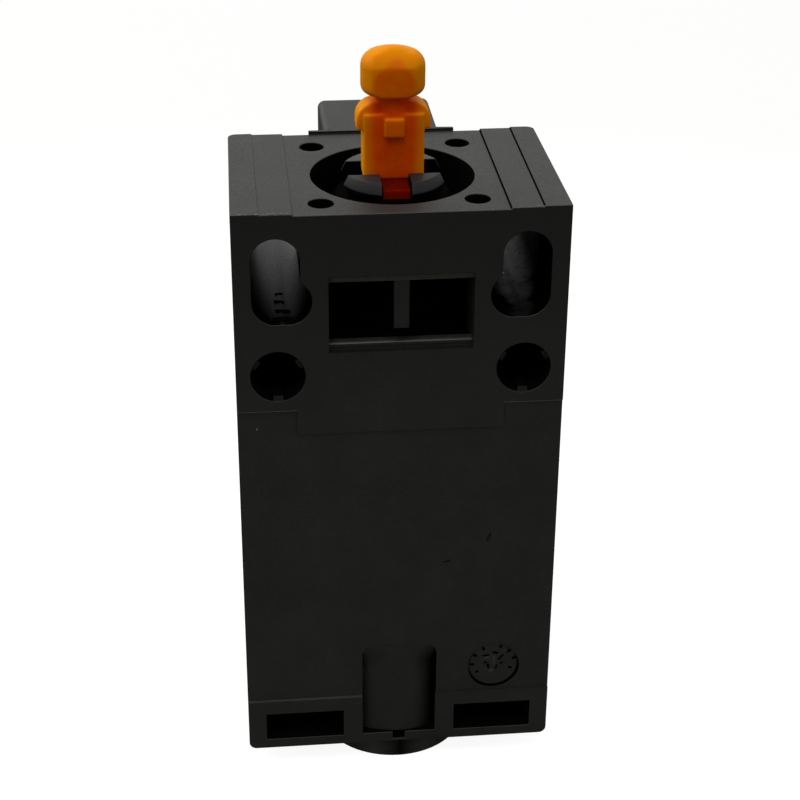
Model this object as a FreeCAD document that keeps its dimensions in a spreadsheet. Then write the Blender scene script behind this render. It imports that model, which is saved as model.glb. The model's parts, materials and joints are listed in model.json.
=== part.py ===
import FreeCAD, Part
import math
import os
import Sketcher

# Plunger-operated door position switch, seen in its own frame: X to the right of the panel face,
# Y from the panel face into the switch, Z up. The origin lies on the panel face, midway between
# the two locating stud holes.

# Driving dimensions in millimetres. A name ending in _z is a height above the housing's foot,
# and a name ending in _y is a distance from the panel face.
DIMENSIONS = {
    # Housing outside
    "body_width": 29.5,
    "body_height": 56.5,
    "flank_depth": 20.3,
    "total_depth": 29.8,
    "stud_height": 41.0,
    "foot_corner": 0.7,
    "flank_draft": 0.23,
    "flank_land": 0.3,
    "flank_corner": 0.8,
    # Housing top with the seat for an operating head
    "panel_half": 9.4,
    "panel_drop": 0.25,
    "strip_half": 12.3,
    "strip_drop": 0.1,
    "recess_radius": 7.4,
    "recess_depth": 4.0,
    "head_pitch_x": 13.65,
    "head_pitch_y": 14.2,
    "head_y": 9.85,
    "head_hole_radius": 1.15,
    "head_hole_depth": 6.0,
    # Stepped bore on the plunger's axis
    "plunger_y": 9.4,
    "bush_seat_z": 50.2,
    "bush_seat_radius": 5.2,
    "seal_seat_z": 48.6,
    "seal_seat_radius": 3.8,
    "web_z": 47.8,
    "web_hole_radius": 2.3,
    "spring_bore_radius": 3.7,
    # Fixing slots, merged round holes and stud holes in the panel face
    "slot_pitch": 22.0,
    "hole_pitch": 20.0,
    "fixing_radius": 2.15,
    "slot_low_z": 48.2,
    "slot_high_z": 52.0,
    "stud_radius": 2.45,
    "stud_depth": 5.0,
    "rib_height": 0.45,
    "rib_width": 0.9,
    "rib_root": 0.3,
    # Window in the panel face, with a rib down its middle and a rounded bar behind its sill
    "window_half": 6.42,
    "window_low_z": 43.15,
    "window_high_z": 49.8,
    "window_depth": 4.8,
    "sill_front_y": 0.75,
    "sill_back_y": 1.75,
    "sill_top_z": 43.75,
    "sill_radius": 0.45,
    "sill_root": 0.2,
    "tee_half": 0.7,
    "tee_low_z": 45.2,
    "tee_recess": 0.3,
    "tee_high_z": 50.4,
    # Lowered field of the panel face and the round mould insert on it
    "field_low_z": 5.6,
    "field_high_z": 37.5,
    "field_step_z": 35.1,
    "field_recess": 0.2,
    "insert_mark_x": 9.2,
    "insert_mark_z": 8.6,
    "insert_mark_radius": 2.35,
    "insert_mark_height": 0.15,
    # Relief over the cable entry, its bar and notch, and the entry's boss
    "relief_half": 3.57,
    "relief_low_z": 1.1,
    "relief_high_z": 11.5,
    "relief_depth": 1.9,
    "relief_corner": 1.3,
    "notch_half": 0.6,
    "notch_low_z": 0.3,
    "notch_depth": 0.9,
    "boss_radius": 7.2,
    "boss_y": 7.4,
    "boss_drop": 2.0,
    "boss_top_z": 13.0,
    "entry_radius": 6.0,
    # Foot windows in the panel face and the pockets for the cover's tabs
    "foot_window_in": 5.44,
    "foot_window_out": 13.0,
    "foot_window_low_z": 1.04,
    "foot_window_high_z": 4.03,
    "foot_window_depth": 3.0,
    "tab_pocket_depth": 4.6,
    # Wiring space
    "cavity_half": 12.6,
    "cavity_low_z": 6.2,
    "cavity_high_z": 33.5,
    "back_wall": 4.5,
    "cavity_corner": 0.5,
    # Front cover
    "shoulder_z": 36.5,
    "tongue_half": 5.5,
    "tongue_flare": 1.4,
    "flare_thickness": 0.5,
    "cover_wall": 1.8,
    "cover_corner": 0.7,
    "cover_edge": 0.5,
    "tab_in": 6.0,
    "tab_out": 12.4,
    "tab_low_z": 1.3,
    "tab_high_z": 3.8,
    "tab_length": 4.0,
    "gasket_inset": 0.75,
    "gasket_width": 1.0,
    "gasket_depth": 1.2,
    "gasket_low_z": 4.7,
    "gasket_high_z": 35.4,
    # Cover screw, its sealing washer and its threaded insert
    "cover_screw_z": 47.5,
    "cover_screw_radius": 1.45,
    "cover_screw_hole": 1.7,
    "cover_screw_head": 2.8,
    "cover_head_height": 2.2,
    "cover_screw_end_y": 16.0,
    "counterbore_radius": 3.2,
    "counterbore_depth": 5.2,
    "washer_thickness": 0.6,
    "drive_slot_width": 0.8,
    "drive_slot_depth": 0.9,
    "insert_radius": 2.0,
    "insert_bore": 1.5,
    "insert_length": 5.0,
    # Plunger guide bush and rod seal
    "travel": 5.0,
    "slide_gap": 0.15,
    "bush_radius": 5.15,
    "bush_bore": 2.2,
    "drum_top_z": 54.6,
    "waist_radius": 4.4,
    "collar_low_z": 56.0,
    "collar_low_radius": 4.85,
    "collar_top_z": 56.9,
    "collar_top_radius": 4.45,
    "stem_slot_half": 1.32,
    "seal_bore": 2.1,
    "seal_lip": 0.5,
    # Plunger cap
    "head_top_z": 68.0,
    "head_shoulder_radius": 1.5,
    "head_shoulder_z": 67.65,
    "head_round": 1.31,
    "head_radius": 2.86,
    "head_side_z": 66.4,
    "head_waist_z": 64.7,
    "head_low_radius": 2.25,
    "head_low_z": 63.9,
    "head_low_round": 0.75,
    "head_flat": 2.15,
    "brow_low_z": 66.6,
    "brow_end_y": 0.3,
    "brow_end_z": 68.1,
    "brow_radius": 3.2,
    "neck_radius": 1.65,
    "ear_half": 3.3,
    "ear_top_z": 63.3,
    "ear_side_z": 61.7,
    "ear_low_z": 60.8,
    "ear_round": 1.75,
    "ear_thickness": 2.4,
    "blade_half": 2.72,
    "blade_low_z": 56.3,
    "blade_high_z": 62.3,
    "blade_thickness": 3.2,
    "blade_edge": 0.4,
    "key_half": 0.86,
    "key_low_z": 60.3,
    "key_high_z": 62.0,
    "key_proud": 0.5,
    # Guide key on the rod's tenon
    "wing_reach": 4.3,
    "wing_low_z": 55.45,
    # Push rod
    "rod_radius": 2.0,
    "stem_half": 1.2,
    "stem_thickness": 2.9,
    "stem_low_z": 51.1,
    "tenon_half": 0.8,
    "tenon_thickness": 2.0,
    "tenon_height": 3.0,
    "tenon_gap": 0.05,
    "collar_radius": 3.4,
    "rod_collar_low_z": 46.8,
    "rod_collar_high_z": 47.7,
    "spigot_radius": 1.2,
    "spigot_depth": 1.2,
    # Contact block and its lid
    "block_half": 12.2,
    "block_low_z": 12.2,
    "block_high_z": 33.4,
    "block_depth": 10.3,
    "chamber_half": 7.0,
    "chamber_low_z": 13.2,
    "chamber_high_z": 32.2,
    "chamber_back_y": 6.4,
    "lid_half": 6.0,
    "lid_low_z": 12.4,
    "lid_high_z": 33.2,
    "lid_thickness": 1.2,
    "lid_ear_out": 12.0,
    "lid_ear_low_z": 20.7,
    "lid_ear_high_z": 24.2,
    "lid_corner": 0.8,
    # Screws that hold the lid and the block
    "block_screw_x": 9.4,
    "block_screw_z": 22.45,
    "block_screw_radius": 1.2,
    "block_screw_hole": 1.25,
    "block_screw_head": 1.65,
    "block_head_height": 1.3,
    "block_screw_end_y": 1.3,
    # Terminals, clamps and contacts
    "strip_gauge": 0.8,
    "strip_gap": 0.05,
    "nc_level_z": 30.3,
    "no_level_z": 14.6,
    "leg_in": 6.4,
    "leg_out": 11.8,
    "leg_back_y": 8.1,
    "tongue_in": 4.4,
    "tongue_front_y": 10.7,
    "face_height": 5.8,
    "terminal_screw_radius": 1.7,
    "terminal_screw_hole": 1.8,
    "terminal_screw_drop": 2.9,
    "terminal_hole_depth": 6.0,
    "terminal_head_radius": 2.5,
    "terminal_head_height": 1.9,
    "terminal_screw_end_y": 9.4,
    "clamp_half": 2.55,
    "clamp_thickness": 0.9,
    "contact_x": 5.5,
    "contact_radius": 1.1,
    "contact_height": 0.5,
    # Contact carrier, bridges and springs
    "carrier_half": 2.6,
    "carrier_thickness": 5.0,
    "carrier_low_z": 18.5,
    "carrier_high_z": 32.05,
    "no_window_low_z": 19.4,
    "no_window_high_z": 23.7,
    "nc_window_low_z": 24.7,
    "nc_window_high_z": 30.55,
    "carrier_window": 4.0,
    "bridge_half": 6.6,
    "bridge_width": 2.6,
    "bridge_gauge": 0.6,
    "nc_bridge_z": 27.88,
    "no_bridge_z": 19.42,
    "contact_spring_radius": 1.3,
    "contact_spring_wire": 0.2,
    "contact_spring_turns": 3,
    "return_spring_radius": 2.95,
    "return_spring_wire": 0.3,
    "return_spring_turns": 6,
    "spring_wire_sides": 6,
    "spring_seat_gap": 0.03,
}

DOC = FreeCAD.newDocument("door_position_switch")
SHEET = DOC.addObject("Spreadsheet::Sheet", "dims")
PIECES = []


def fill_sheet():
    """Writes the driving dimensions to the spreadsheet, one alias to a row."""
    for row, (alias, value) in enumerate(DIMENSIONS.items(), start=1):
        SHEET.set(f"A{row}", alias)
        SHEET.set(f"B{row}", str(value))
        SHEET.setAlias(f"B{row}", alias)
    DOC.recompute()


def up(name):
    """The part's Z, as an expression, of a height given above the foot."""
    return f"(dims.{name} - dims.stud_height)"


FOOT = "(0 - dims.stud_height)"
TOP = up("body_height")
HALF_WIDTH = "(dims.body_width / 2)"
FRONT_HALF = "(dims.body_width / 2 - dims.flank_draft)"
BLOCK_FRONT = "(dims.back_wall + dims.block_depth)"
FACE_FRONT = "(dims.back_wall + dims.block_depth + dims.strip_gauge)"
SLOT_FLOOR = "(dims.blade_low_z - dims.travel - 2 * dims.slide_gap - dims.stud_height)"
WASHER_SEAT = "(dims.total_depth - dims.counterbore_depth)"
COVER_HEAD_SEAT = "(dims.total_depth - dims.counterbore_depth + dims.washer_thickness)"
SIDES = {"left": -1, "right": 1}


def number(text):
    """The present value of an expression."""
    return float(SHEET.evalExpression(text))


def bind(thing, target, text):
    """Drives a property by an expression."""
    thing.setExpression(target, text)


# Sketch helpers: every point is pinned by two expressions measured from the sketch's origin

def sketch_on(body, plane, offset="0"):
    """A sketch on an origin plane of the body, moved along the plane's normal."""
    sketch = body.newObject("Sketcher::SketchObject", f"{body.Label}_sketch")
    support = next(f for f in body.Origin.OriginFeatures if f.Role == plane)
    sketch.AttachmentSupport = [(support, "")]
    sketch.MapMode = "FlatFace"
    bind(sketch, "AttachmentOffset.Base.z", offset)
    return sketch


def on_panel(body, y="0"):
    """A sketch parallel to the panel face at distance y, with X across and Z up."""
    return sketch_on(body, "XZ_Plane", f"-({y})")


def on_level(body, z):
    """A sketch on the level plane at height z, with X across and Y into the switch."""
    return sketch_on(body, "XY_Plane", z)


def on_side(body, x):
    """A sketch on the upright plane at distance x, with Y across and Z up."""
    return sketch_on(body, "YZ_Plane", x)


def limit(sketch, kind, geometry, end, text):
    """One distance of a sketch point from the origin, bound to an expression."""
    index = sketch.addConstraint(Sketcher.Constraint(kind, -1, 1, geometry, end, number(text)))
    if "dims" in text:
        sketch.setExpression(f"Constraints[{index}]", text)


def pin(sketch, geometry, end, x, y):
    """Pins a sketch point at two expressions."""
    limit(sketch, "DistanceX", geometry, end, x)
    limit(sketch, "DistanceY", geometry, end, y)


def place(x, y):
    """A point of a sketch from two expressions."""
    return FreeCAD.Vector(number(x), number(y), 0)


def set_radius(sketch, geometry, text):
    """Binds the radius of a circle or an arc to an expression."""
    index = sketch.addConstraint(Sketcher.Constraint("Radius", geometry, number(text)))
    sketch.setExpression(f"Constraints[{index}]", text)


def profile(sketch, corners):
    """A closed run of lines and arcs through the corners.

    A corner is (x, y) where a line leaves it, or (x, y, radius, side) where an arc does. Side 1 bows
    the arc to the right of the way it runs and side -1 to the left.
    """
    points = [place(corner[0], corner[1]) for corner in corners]
    first = sketch.GeometryCount
    ends = []
    for corner, start, end in zip(corners, points, points[1:] + points[:1]):
        if len(corner) == 2:
            index = sketch.addGeometry(Part.LineSegment(start, end))
        else:
            chord = end - start
            radius = number(corner[2])
            sagitta = radius - math.sqrt(radius ** 2 - (chord.Length / 2) ** 2)
            across = FreeCAD.Vector(chord.y, -chord.x, 0).normalize()
            middle = (start + end) * 0.5 + across * (corner[3] * sagitta)
            index = sketch.addGeometry(Part.Arc(start, middle, end))
        starts_here = sketch.getPoint(index, 1).distanceToPoint(start) < 1e-6
        ends.append((1, 2) if starts_here else (2, 1))
    count = len(corners)
    for k, corner in enumerate(corners):
        following = (k + 1) % count
        sketch.addConstraint(Sketcher.Constraint(
            "Coincident", first + k, ends[k][1], first + following, ends[following][0]))
        pin(sketch, first + k, ends[k][0], corner[0], corner[1])
        if len(corner) > 2:
            set_radius(sketch, first + k, corner[2])


def rectangle(sketch, x_low, x_high, y_low, y_high):
    """A rectangle between four expressions."""
    profile(sketch, [(x_low, y_low), (x_high, y_low), (x_high, y_high), (x_low, y_high)])


def circle(sketch, x, y, radius):
    """A circle from three expressions."""
    index = sketch.addGeometry(Part.Circle(place(x, y), FreeCAD.Vector(0, 0, 1), number(radius)))
    pin(sketch, index, 3, x, y)
    set_radius(sketch, index, radius)


def upright_slot(sketch, x, low, high, radius):
    """An upright slot with round ends centred at (x, low) and (x, high)."""
    axis = FreeCAD.Vector(0, 0, 1)
    left, right = f"({x} - {radius})", f"({x} + {radius})"
    crown = sketch.addGeometry(Part.ArcOfCircle(
        Part.Circle(place(x, high), axis, number(radius)), 0, math.pi))
    bowl = sketch.addGeometry(Part.ArcOfCircle(
        Part.Circle(place(x, low), axis, number(radius)), math.pi, 2 * math.pi))
    descent = sketch.addGeometry(Part.LineSegment(place(left, high), place(left, low)))
    ascent = sketch.addGeometry(Part.LineSegment(place(right, low), place(right, high)))
    joints = ((crown, 2, descent), (descent, 2, bowl), (bowl, 2, ascent), (ascent, 2, crown))
    for one, one_end, other in joints:
        sketch.addConstraint(Sketcher.Constraint("Coincident", one, one_end, other, 1))
    pin(sketch, crown, 1, right, high)
    pin(sketch, crown, 2, left, high)
    pin(sketch, bowl, 1, left, low)
    pin(sketch, bowl, 2, right, low)
    limit(sketch, "DistanceY", crown, 3, high)
    limit(sketch, "DistanceY", bowl, 3, low)


# Feature helpers

def new_body(label, on_plunger_axis=False):
    """A body that becomes one piece, on the part's origin or on the plunger's axis."""
    body = DOC.addObject("PartDesign::Body", label)
    body.Label = label
    if on_plunger_axis:
        bind(body, "Placement.Base.y", "dims.plunger_y")
    PIECES.append(body)
    return body


def extrude(body, kind, sketch, length, reverse):
    """A Pad along the sketch's normal, or a Pocket against it, unless reversed."""
    feature = body.newObject(f"PartDesign::{kind}", f"{body.Label}_{kind.lower()}")
    feature.Profile = sketch
    bind(feature, "Length", length)
    feature.Reversed = reverse
    return feature


def pad_inward(body, sketch, length):
    """Adds material from a panel-parallel sketch towards +Y."""
    return extrude(body, "Pad", sketch, length, True)


def pad_up(body, sketch, length):
    """Adds material from a level sketch upwards."""
    return extrude(body, "Pad", sketch, length, False)


def cut_inward(body, sketch, depth):
    """Removes material from a panel-parallel sketch towards +Y."""
    return extrude(body, "Pocket", sketch, depth, False)


def cut_outward(body, sketch, depth):
    """Removes material from a panel-parallel sketch towards the panel face."""
    return extrude(body, "Pocket", sketch, depth, True)


def cut_down(body, sketch, depth):
    """Removes material from a level sketch downwards."""
    return extrude(body, "Pocket", sketch, depth, False)


def cut_up(body, sketch, depth):
    """Removes material from a level sketch upwards."""
    return extrude(body, "Pocket", sketch, depth, True)


def cut_across(body, sketch, depth):
    """Removes material from a side sketch towards -X."""
    return extrude(body, "Pocket", sketch, depth, False)


def revolve(body, corners):
    """Turns a profile of (radius, height) corners about the body's own Z axis."""
    sketch = on_panel(body)
    profile(sketch, corners)
    feature = body.newObject("PartDesign::Revolution", f"{body.Label}_turned")
    feature.Profile = sketch
    feature.ReferenceAxis = (sketch, ["V_Axis"])
    feature.Angle = 360
    return feature


def along(edge, axis):
    """True for a straight edge that runs along the named axis."""
    if edge.Degenerated or not isinstance(edge.Curve, Part.Line):
        return False
    return abs(abs(getattr(edge.Curve.Direction, axis)) - 1) < 1e-6


def at(edge, **places):
    """True where the edge's middle has each given coordinate, or its mirror image for x."""
    middle = edge.BoundBox.Center
    for axis, value in places.items():
        found = getattr(middle, axis)
        if abs(abs(found) - abs(value)) > 0.01 or (axis != "x" and abs(found - value) > 0.01):
            return False
    return True


def dress(body, kind, size, wanted):
    """Fillets or chamfers the edges of the body so far that the test picks."""
    DOC.recompute()
    base = body.Tip
    names = [f"Edge{k}" for k, edge in enumerate(base.Shape.Edges, start=1) if wanted(edge)]
    if not names:
        raise ValueError(f"no edge of {body.Label} to dress")
    feature = body.newObject(f"PartDesign::{kind}", f"{body.Label}_{kind.lower()}")
    feature.Base = (base, names)
    bind(feature, "Radius" if kind == "Fillet" else "Size", size)
    return feature


# Helpers for pieces made of primitives

def block(label, x, y, z):
    """A box between pairs of expressions."""
    box = DOC.addObject("Part::Box", label)
    for axis, side, (low, high) in zip("xyz", ("Length", "Width", "Height"), (x, y, z)):
        bind(box, f"Placement.Base.{axis}", low)
        bind(box, side, f"({high}) - ({low})")
    return box


def upright_rod(label, x, y, z, radius):
    """A cylinder along Z between a pair of heights."""
    rod = DOC.addObject("Part::Cylinder", label)
    for axis, text in zip("xyz", (x, y, z[0])):
        bind(rod, f"Placement.Base.{axis}", text)
    bind(rod, "Radius", radius)
    bind(rod, "Height", f"({z[1]}) - ({z[0]})")
    return rod


def inward_rod(label, x, y, z, radius):
    """A cylinder along Y between a pair of distances from the panel face."""
    rod = upright_rod(label, x, y[0], (z, f"({z}) + ({y[1]}) - ({y[0]})"), radius)
    rod.Placement = FreeCAD.Placement(rod.Placement.Base, FreeCAD.Rotation(FreeCAD.Vector(1, 0, 0), -90))
    return rod


def cut(label, base, tools):
    """The base less its tools."""
    tool = tools[0]
    if len(tools) > 1:
        tool = DOC.addObject("Part::MultiFuse", f"{label}_tools")
        tool.Shapes = tools
    result = DOC.addObject("Part::Cut", label)
    result.Base = base
    result.Tool = tool
    return result


def join(label, shapes):
    """Shapes fused into one solid."""
    result = DOC.addObject("Part::MultiFuse", label)
    result.Shapes = shapes
    return result


def piece(label, result):
    """Names a finished object as a piece of the switch."""
    result.Label = label
    PIECES.append(result)
    return result


def group(label, shapes):
    """Separate solids that share one node."""
    result = DOC.addObject("Part::Compound", f"{label}_set")
    result.Links = shapes
    return piece(label, result)


def signed(side, text):
    """An expression on the left or the right of the middle plane."""
    return f"({side} * ({text}))"


def span(side, near, far):
    """A pair of expressions in rising order, mirrored for the left side."""
    return (near, far) if side > 0 else (f"(0 - ({far}))", f"(0 - ({near}))")


# Housing

def make_housing():
    """The moulded housing: block, panel-face relief, fixings, cable entry, cavity and stepped bore."""
    body = new_body("housing")
    outline = on_panel(body)
    rectangle(outline, f"-{HALF_WIDTH}", HALF_WIDTH, FOOT, TOP)
    pad_inward(body, outline, "dims.flank_depth")
    cut_panel_field(body)
    add_cable_entry(body)
    cut_cavity(body)
    cut_fixings(body)
    cut_window(body)
    cut_foot_windows(body)
    cut_top(body)
    draft_flanks(body)
    soften_housing(body)


def cut_panel_field(body):
    """Lowers the middle field of the panel face and raises the round mould insert on it."""
    field = on_panel(body)
    beyond = "(dims.body_width / 2 + 1)"
    profile(field, [
        (f"-{beyond}", up("field_low_z")), (beyond, up("field_low_z")),
        (beyond, up("field_high_z")), ("dims.panel_half", up("field_high_z")),
        ("dims.panel_half", up("field_step_z")), ("-dims.panel_half", up("field_step_z")),
        ("-dims.panel_half", up("field_high_z")), (f"-{beyond}", up("field_high_z"))])
    cut_inward(body, field, "dims.field_recess")
    mark = on_panel(body, "dims.field_recess - dims.insert_mark_height")
    circle(mark, "dims.insert_mark_x", up("insert_mark_z"), "dims.insert_mark_radius")
    pad_inward(body, mark, "2 * dims.insert_mark_height")


def add_cable_entry(body):
    """The round entry boss below the foot, showing as a convex floor inside the arched relief."""
    relief = on_panel(body)
    rectangle(relief, "-dims.relief_half", "dims.relief_half", up("relief_low_z"), up("relief_high_z"))
    cut_inward(body, relief, "dims.relief_depth")
    dress(body, "Fillet", "dims.relief_corner", lambda edge: along(edge, "y") and at(
        edge, x=number("dims.relief_half"), z=number(up("relief_high_z"))))
    boss = on_level(body, f"{FOOT} - dims.boss_drop")
    circle(boss, "0", "dims.boss_y", "dims.boss_radius")
    pad_up(body, boss, "dims.boss_drop + dims.boss_top_z")
    notch = on_panel(body)
    rectangle(notch, "-dims.notch_half", "dims.notch_half", up("notch_low_z"), up("relief_low_z"))
    cut_inward(body, notch, "dims.notch_depth")
    entry = on_level(body, f"{FOOT} - dims.boss_drop")
    circle(entry, "0", "dims.boss_y", "dims.entry_radius")
    cut_up(body, entry, "dims.boss_drop + dims.cavity_low_z")


def cut_cavity(body):
    """The wiring space, open to the front, with the holes for the cover insert and block screws."""
    cavity = on_panel(body, "dims.flank_depth")
    rectangle(cavity, "-dims.cavity_half", "dims.cavity_half", up("cavity_low_z"), up("cavity_high_z"))
    cut_outward(body, cavity, "dims.flank_depth - dims.back_wall")
    dress(body, "Fillet", "dims.cavity_corner", lambda edge: along(edge, "y") and at(
        edge, x=number("dims.cavity_half")))
    insert = on_panel(body, "dims.flank_depth")
    circle(insert, "0", up("cover_screw_z"), "dims.insert_radius")
    cut_outward(body, insert, "dims.insert_length")
    pilots = on_panel(body, "dims.back_wall")
    for side in SIDES.values():
        circle(pilots, signed(side, "dims.block_screw_x"), up("block_screw_z"), "dims.block_screw_hole")
    cut_outward(body, pilots, "dims.back_wall - dims.block_screw_end_y + dims.spring_seat_gap")


def cut_fixings(body):
    """Fixing slots and the round holes that merge with them, then the ribbed stud holes."""
    slots = on_panel(body)
    holes = on_panel(body)
    studs = on_panel(body)
    for side in SIDES.values():
        upright_slot(slots, signed(side, "dims.slot_pitch / 2"), up("slot_low_z"), up("slot_high_z"),
                     "dims.fixing_radius")
        circle(holes, signed(side, "dims.hole_pitch / 2"), up("slot_low_z"), "dims.fixing_radius")
        circle(studs, signed(side, "dims.slot_pitch / 2"), "0", "dims.stud_radius")
    cut_inward(body, slots, "dims.flank_depth")
    cut_inward(body, holes, "dims.flank_depth")
    cut_inward(body, studs, "dims.stud_depth")
    ribs = on_panel(body, "dims.field_recess")
    for side in SIDES.values():
        for angle in (30, 150, 270):
            add_crush_rib(ribs, signed(side, "dims.slot_pitch / 2"), math.radians(angle))
    pad_inward(body, ribs, "dims.stud_depth")


def add_crush_rib(sketch, centre, angle):
    """One rib of a stud hole, as a rectangle that points from the wall to the hole's axis."""
    near = "(dims.stud_radius - dims.rib_height)"
    far = "(dims.stud_radius + dims.rib_root)"
    along_x, along_z = f"({math.cos(angle):.6f})", f"({math.sin(angle):.6f})"
    corners = []
    for reach, half in ((near, -0.5), (far, -0.5), (far, 0.5), (near, 0.5)):
        sideways = f"({half} * dims.rib_width)"
        corners.append((f"{centre} + {reach} * {along_x} - {sideways} * {along_z}",
                        f"{reach} * {along_z} + {sideways} * {along_x}"))
    profile(sketch, corners)


def cut_window(body):
    """The window with the tee-shaped rib across it and the rounded bar along its foot."""
    low, high, tee_low = up("window_low_z"), up("window_high_z"), up("tee_low_z")
    wide, slim = "dims.window_half", "dims.tee_half"
    window = on_panel(body)
    profile(window, [(f"-{wide}", low), (wide, low), (wide, high), (slim, high), (slim, tee_low),
                     (f"-{slim}", tee_low), (f"-{slim}", high), (f"-{wide}", high)])
    cut_inward(body, window, "dims.window_depth")
    tee = on_panel(body)
    tee_high = up("tee_high_z")
    profile(tee, [(f"-{wide}", high), (f"-{slim}", high), (f"-{slim}", tee_low), (slim, tee_low),
                  (slim, high), (wide, high), (wide, tee_high), (f"-{wide}", tee_high)])
    cut_inward(body, tee, "dims.tee_recess")
    sill = on_panel(body, "dims.sill_front_y")
    rooted = "(dims.window_half + dims.sill_root)"
    rectangle(sill, f"-{rooted}", rooted, f"{low} - dims.sill_root", up("sill_top_z"))
    pad_inward(body, sill, "dims.sill_back_y - dims.sill_front_y")
    dress(body, "Fillet", "dims.sill_radius", lambda edge: along(edge, "x") and at(
        edge, x=0, y=number("dims.sill_front_y"), z=number(up("sill_top_z"))))


def cut_foot_windows(body):
    """The foot windows in the panel face and the tab pockets opposite, behind the cover."""
    windows = on_panel(body)
    pockets = on_panel(body, "dims.flank_depth")
    for side in SIDES.values():
        across = span(side, "dims.foot_window_in", "dims.foot_window_out")
        for sketch in (windows, pockets):
            rectangle(sketch, *across, up("foot_window_low_z"), up("foot_window_high_z"))
    cut_inward(body, windows, "dims.foot_window_depth")
    cut_outward(body, pockets, "dims.tab_pocket_depth")


def cut_top(body):
    """The stepped top face, the head's recess and screw holes, and the bore down to the cavity."""
    for half, drop in (("dims.strip_half", "dims.strip_drop"), ("dims.panel_half", "dims.panel_drop")):
        panel = on_level(body, TOP)
        rectangle(panel, f"-{half}", half, "-1", "dims.flank_depth + 1")
        cut_down(body, panel, drop)
    steps = (("dims.recess_radius", "dims.recess_depth"),
             ("dims.bush_seat_radius", "dims.body_height - dims.bush_seat_z"),
             ("dims.seal_seat_radius", "dims.body_height - dims.seal_seat_z"),
             ("dims.web_hole_radius", "dims.body_height - dims.web_z"))
    for radius, depth in steps:
        step = on_level(body, TOP)
        circle(step, "0", "dims.plunger_y", radius)
        cut_down(body, step, depth)
    spring_bore = on_level(body, up("cavity_high_z"))
    circle(spring_bore, "0", "dims.plunger_y", "dims.spring_bore_radius")
    cut_up(body, spring_bore, "dims.web_z - dims.cavity_high_z")
    holes = on_level(body, TOP)
    for side in SIDES.values():
        for row in SIDES.values():
            circle(holes, signed(side, "dims.head_pitch_x / 2"),
                   f"dims.head_y + {row} * dims.head_pitch_y / 2", "dims.head_hole_radius")
    cut_down(body, holes, "dims.head_hole_depth")


def draft_flanks(body):
    """Takes the mould's draft off both flanks, which grows from a narrow land to the front edge."""
    slivers = on_level(body, TOP)
    for side in SIDES.values():
        beyond = signed(side, f"({HALF_WIDTH} + 1)")
        profile(slivers, [
            (signed(side, HALF_WIDTH), "dims.flank_land"), (beyond, "dims.flank_land"),
            (beyond, "dims.flank_depth"), (signed(side, FRONT_HALF), "dims.flank_depth")])
    cut_down(body, slivers, "dims.body_height")


def soften_housing(body):
    """Rounds the foot's corners along the flanks and the flanks' front edges."""
    side, front_side = number(HALF_WIDTH), number(FRONT_HALF)
    dress(body, "Fillet", "dims.flank_corner", lambda edge: along(edge, "z") and at(
        edge, x=front_side, y=number("dims.flank_depth")))
    dress(body, "Fillet", "dims.foot_corner", lambda edge: along(edge, "y") and at(
        edge, x=side, z=number(FOOT)))


# Front cover and what rides on it

def make_front_cover():
    """The tee-shaped cover shell: tongue, wiring hollow, gasket groove, screw hole and foot tabs."""
    body = new_body("front_cover")
    outline = on_panel(body, "dims.flank_depth")
    tongue, shoulder = "dims.tongue_half", up("shoulder_z")
    profile(outline, [
        (f"-{FRONT_HALF}", FOOT), (FRONT_HALF, FOOT), (FRONT_HALF, shoulder), (tongue, shoulder),
        (tongue, TOP), (f"-{tongue}", TOP), (f"-{tongue}", shoulder), (f"-{FRONT_HALF}", shoulder)])
    pad_inward(body, outline, "dims.total_depth - dims.flank_depth")
    dress(body, "Fillet", "dims.cover_corner", lambda edge: along(edge, "y"))
    front = number("dims.total_depth")
    dress(body, "Fillet", "dims.cover_edge", lambda edge: abs(edge.BoundBox.YMin - front) < 0.01)
    flare = on_panel(body, "dims.flank_depth")
    flare_half = "(dims.tongue_half + dims.tongue_flare)"
    rectangle(flare, f"-{flare_half}", flare_half, shoulder, TOP)
    pad_inward(body, flare, "dims.flare_thickness")
    hollow = on_panel(body, "dims.flank_depth")
    rectangle(hollow, "-dims.cavity_half", "dims.cavity_half", up("cavity_low_z"), up("cavity_high_z"))
    cut_inward(body, hollow, "dims.total_depth - dims.flank_depth - dims.cover_wall")
    groove = on_panel(body, "dims.flank_depth")
    gasket_frame(groove, "0")
    cut_inward(body, groove, "dims.gasket_depth")
    steps = (("dims.cover_screw_hole", "dims.flank_depth"), ("dims.counterbore_radius", WASHER_SEAT))
    for radius, start in steps:
        hole = on_panel(body, start)
        circle(hole, "0", up("cover_screw_z"), radius)
        cut_inward(body, hole, f"dims.total_depth - {start}")
    tabs = on_panel(body, "dims.flank_depth - dims.tab_length")
    for side in SIDES.values():
        rectangle(tabs, *span(side, "dims.tab_in", "dims.tab_out"), up("tab_low_z"), up("tab_high_z"))
    pad_inward(body, tabs, "dims.tab_length")


def gasket_frame(sketch, play):
    """The gasket's frame, made smaller on every side by the play."""
    outer_x = f"({HALF_WIDTH} - dims.gasket_inset - {play})"
    outer_low, outer_high = f"({up('gasket_low_z')} + {play})", f"({up('gasket_high_z')} - {play})"
    width = f"(dims.gasket_width - 2 * {play})"
    rectangle(sketch, f"-{outer_x}", outer_x, outer_low, outer_high)
    rectangle(sketch, f"-({outer_x} - {width})", f"({outer_x} - {width})",
              f"({outer_low} + {width})", f"({outer_high} - {width})")


def make_cover_gasket():
    """The rubber frame that lies in the cover's groove and meets the housing."""
    body = new_body("cover_gasket")
    frame = on_panel(body, "dims.flank_depth")
    gasket_frame(frame, "dims.spring_seat_gap")
    pad_inward(body, frame, "dims.gasket_depth")


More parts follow.
